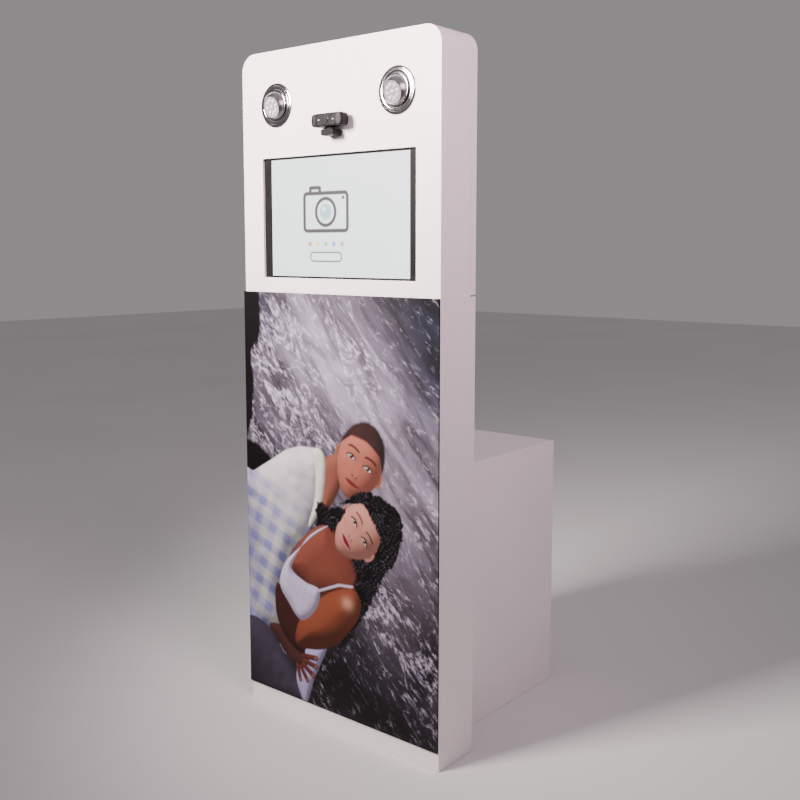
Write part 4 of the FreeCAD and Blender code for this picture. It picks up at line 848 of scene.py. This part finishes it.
lens_glass = mottled("camera_lens_glass", (0.004, 0.004, 0.007), (0.008, 0.007, 0.012), 200, (0.03, 0.06),
                     3000, 0.000002, Coat_Weight=1.0, Coat_Roughness=0.02)
LENS_RADII = [0, 2.4, 4.0, 4.8, 5.2, 5.8, 6.6, 7.1, 7.1, 0]
LENS_DEPTHS = [0.45, 0.3, 0.55, 0.85, 0.4, 0.05, 0.05, 0.35, 1.4, 1.4]
lens_place = (WEBCAM_X, PLATE_Y, WEBCAM_Z)
lens = turned_shell("webcam_lens", LENS_RADII, LENS_DEPTHS, lens_place, lens_glass, steps=48)
dress(lens, "webcam", None)


def lofted_pad(name, centre, half_width, half_height, corner, depths, insets, finish):
    """A pad facing forwards: one rounded oblong outline, drawn in by each inset at its depth, lofted
    from the first depth to the last and closed flat at both ends."""
    angle = np.radians(np.arange(0, 360, 15) + 7.5)
    inset = np.asarray(insets, float)[:, None]
    across = (half_width - corner) * np.sign(np.cos(angle)) + (corner - inset) * np.cos(angle)
    up = (half_height - corner) * np.sign(np.sin(angle)) + (corner - inset) * np.sin(angle)
    along = np.asarray(depths, float)[:, None] + 0 * across
    points = np.stack([across, along, up], -1) + centre
    rows, around = across.shape
    index = np.arange(rows * around).reshape(rows, around)
    beside = np.roll(index, -1, 1)
    quads = np.stack([index[:-1], index[1:], beside[1:], beside[:-1]], -1).reshape(-1, 4)
    faces = quads.tolist() + [index[0].tolist(), index[-1, ::-1].tolist()]
    pad = add_piece(name, points.reshape(-1, 3) * MM, faces, finish)
    pad.data.set_sharp_from_angle(angle=math.radians(40))
    return pad


HOUSING_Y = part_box("webcam_body")[0].y / MM
HOUSING_DEPTHS = (-0.4, 0.0, 0.9, 2.4, 4.4, 19.6, 22.0, 23.4, 24.1)
HOUSING_INSETS = (3.0, 1.9, 0.9, 0.25, 0, 0, 0.4, 1.4, 3.0)
housing = lofted_pad("webcam_housing", (WEBCAM_X, HOUSING_Y, WEBCAM_Z), half_width=47.1, half_height=14.6,
                     corner=7.0, depths=HOUSING_DEPTHS, insets=HOUSING_INSETS, finish=webcam_shell)
dress(housing, "webcam", None)

status_white, tree, shader = new_finish("status_light", Roughness=0.3, Emission_Strength=0.45)
cloud = spread(tree, grain(tree, 800, 2), 0, 1, 0.3, 0.7)
milky = between(tree, cloud, (0.70, 0.72, 0.78), (0.80, 0.82, 0.86))
tree.links.new(milky, shader.inputs["Base Color"])
tree.links.new(milky, shader.inputs["Emission Color"])
for side, offset in (("left", -22.0), ("right", 22.0)):
    light = lofted_pad("webcam_light_" + side, (WEBCAM_X + offset, PLATE_Y + 1.0, WEBCAM_Z), half_width=2.5,
                       half_height=0.6, corner=0.4, depths=(-0.35, -0.15, 0.6), insets=(0.2, 0, 0),
                       finish=status_white)
    dress(light, "webcam", None)

# ---------------------------------------------------------------- hinges, locks and bolts
# Pressed and zinc-plated steel hinges let into the doors' edges, cam locks with a polished nickelled
# barrel, their keepers, and the cross-dowel bolts that join the column to the cabinet.
zinc = mottled("zinc_plate", (0.50, 0.50, 0.49), (0.40, 0.40, 0.39), 90, (0.28, 0.42),
               2500, 0.00002, Metallic=1.0)
for ironwork in ("hinge_fixed_leaves", "head_door_leaves", "cabinet_door_leaves", "lock_keepers"):
    eased(ironwork, zinc, ease=0.2)
finished("joining_bolts", zinc)
for lock in ("head_lock_barrel", "head_lock_plug", "cabinet_lock_barrel", "cabinet_lock_plug"):
    eased(lock, polished, ease=0.25)

# ---------------------------------------------------------------- computer and its cable
# A palm-sized computer on the head's back board, fed through a ribbed black conduit held in moulded
# saddles all the way up from the cabinet.
case_plastic = mottled("computer_case", (0.020, 0.020, 0.022), (0.027, 0.027, 0.029), 50, (0.40, 0.52),
                       1600, 0.00008)
eased("mini_computer", case_plastic, ease=1.6)
grey_moulding = mottled("grey_moulding", (0.30, 0.30, 0.31), (0.26, 0.26, 0.27), 40, (0.42, 0.55),
                        1900, 0.00006)
eased("computer_button", grey_moulding, ease=0.4)
ribbed_black, tree, shader = new_finish("ribbed_conduit", Roughness=0.48)
RIB_PITCH = 0.0032
height = shader_node(tree, "SeparateXYZ", {0: shader_node(tree, "TexCoord").outputs["Object"]}).outputs[2]
ribs = maths(tree, "SINE", maths(tree, "MULTIPLY", height, 2 * math.pi / RIB_PITCH))
press(tree, shader, ribs, 0.0005)
worn = spread(tree, grain(tree, 45, 4), 0, 1, 0.35, 0.7)
tree.links.new(between(tree, worn, (0.020, 0.020, 0.021), (0.032, 0.031, 0.032)), shader.inputs["Base Color"])
finished("cable_conduit", ribbed_black)
eased("conduit_saddles", black_moulding, ease=0.4)

# ---------------------------------------------------------------- printer, its shelf's pocket and its lid
# A dye-sublimation photo printer in two-tone grey moulding on the cabinet's shelf; its prints drop
# through the door's outlet into a folded steel pocket.
eased("printer_body", grey_moulding, ease=1.6)
eased("printer_lid", grey_moulding, ease=1.2)
eased("printer_button", grey_moulding, ease=0.5)
eased("print_pocket", dark_steel, ease=0.3)

# ---------------------------------------------------------------- mains inlet, switch and socket strip
# A flanged black appliance inlet with a rocker switch in the cabinet's left side, and a white strip
# of three earthed sockets screwed inside behind it.
eased("power_inlet", black_moulding, ease=0.5)
switch_rocker = mottled("switch_rocker", (0.030, 0.029, 0.030), (0.038, 0.037, 0.038), 80, (0.3, 0.4),
                        2600, 0.00002)
eased("power_switch", switch_rocker, ease=0.4)
pale_urea = mottled("pale_urea_moulding", (0.66, 0.65, 0.62), (0.60, 0.59, 0.56), 30, (0.35, 0.48),
                    2200, 0.00003)
eased("power_strip", pale_urea, ease=0.8)
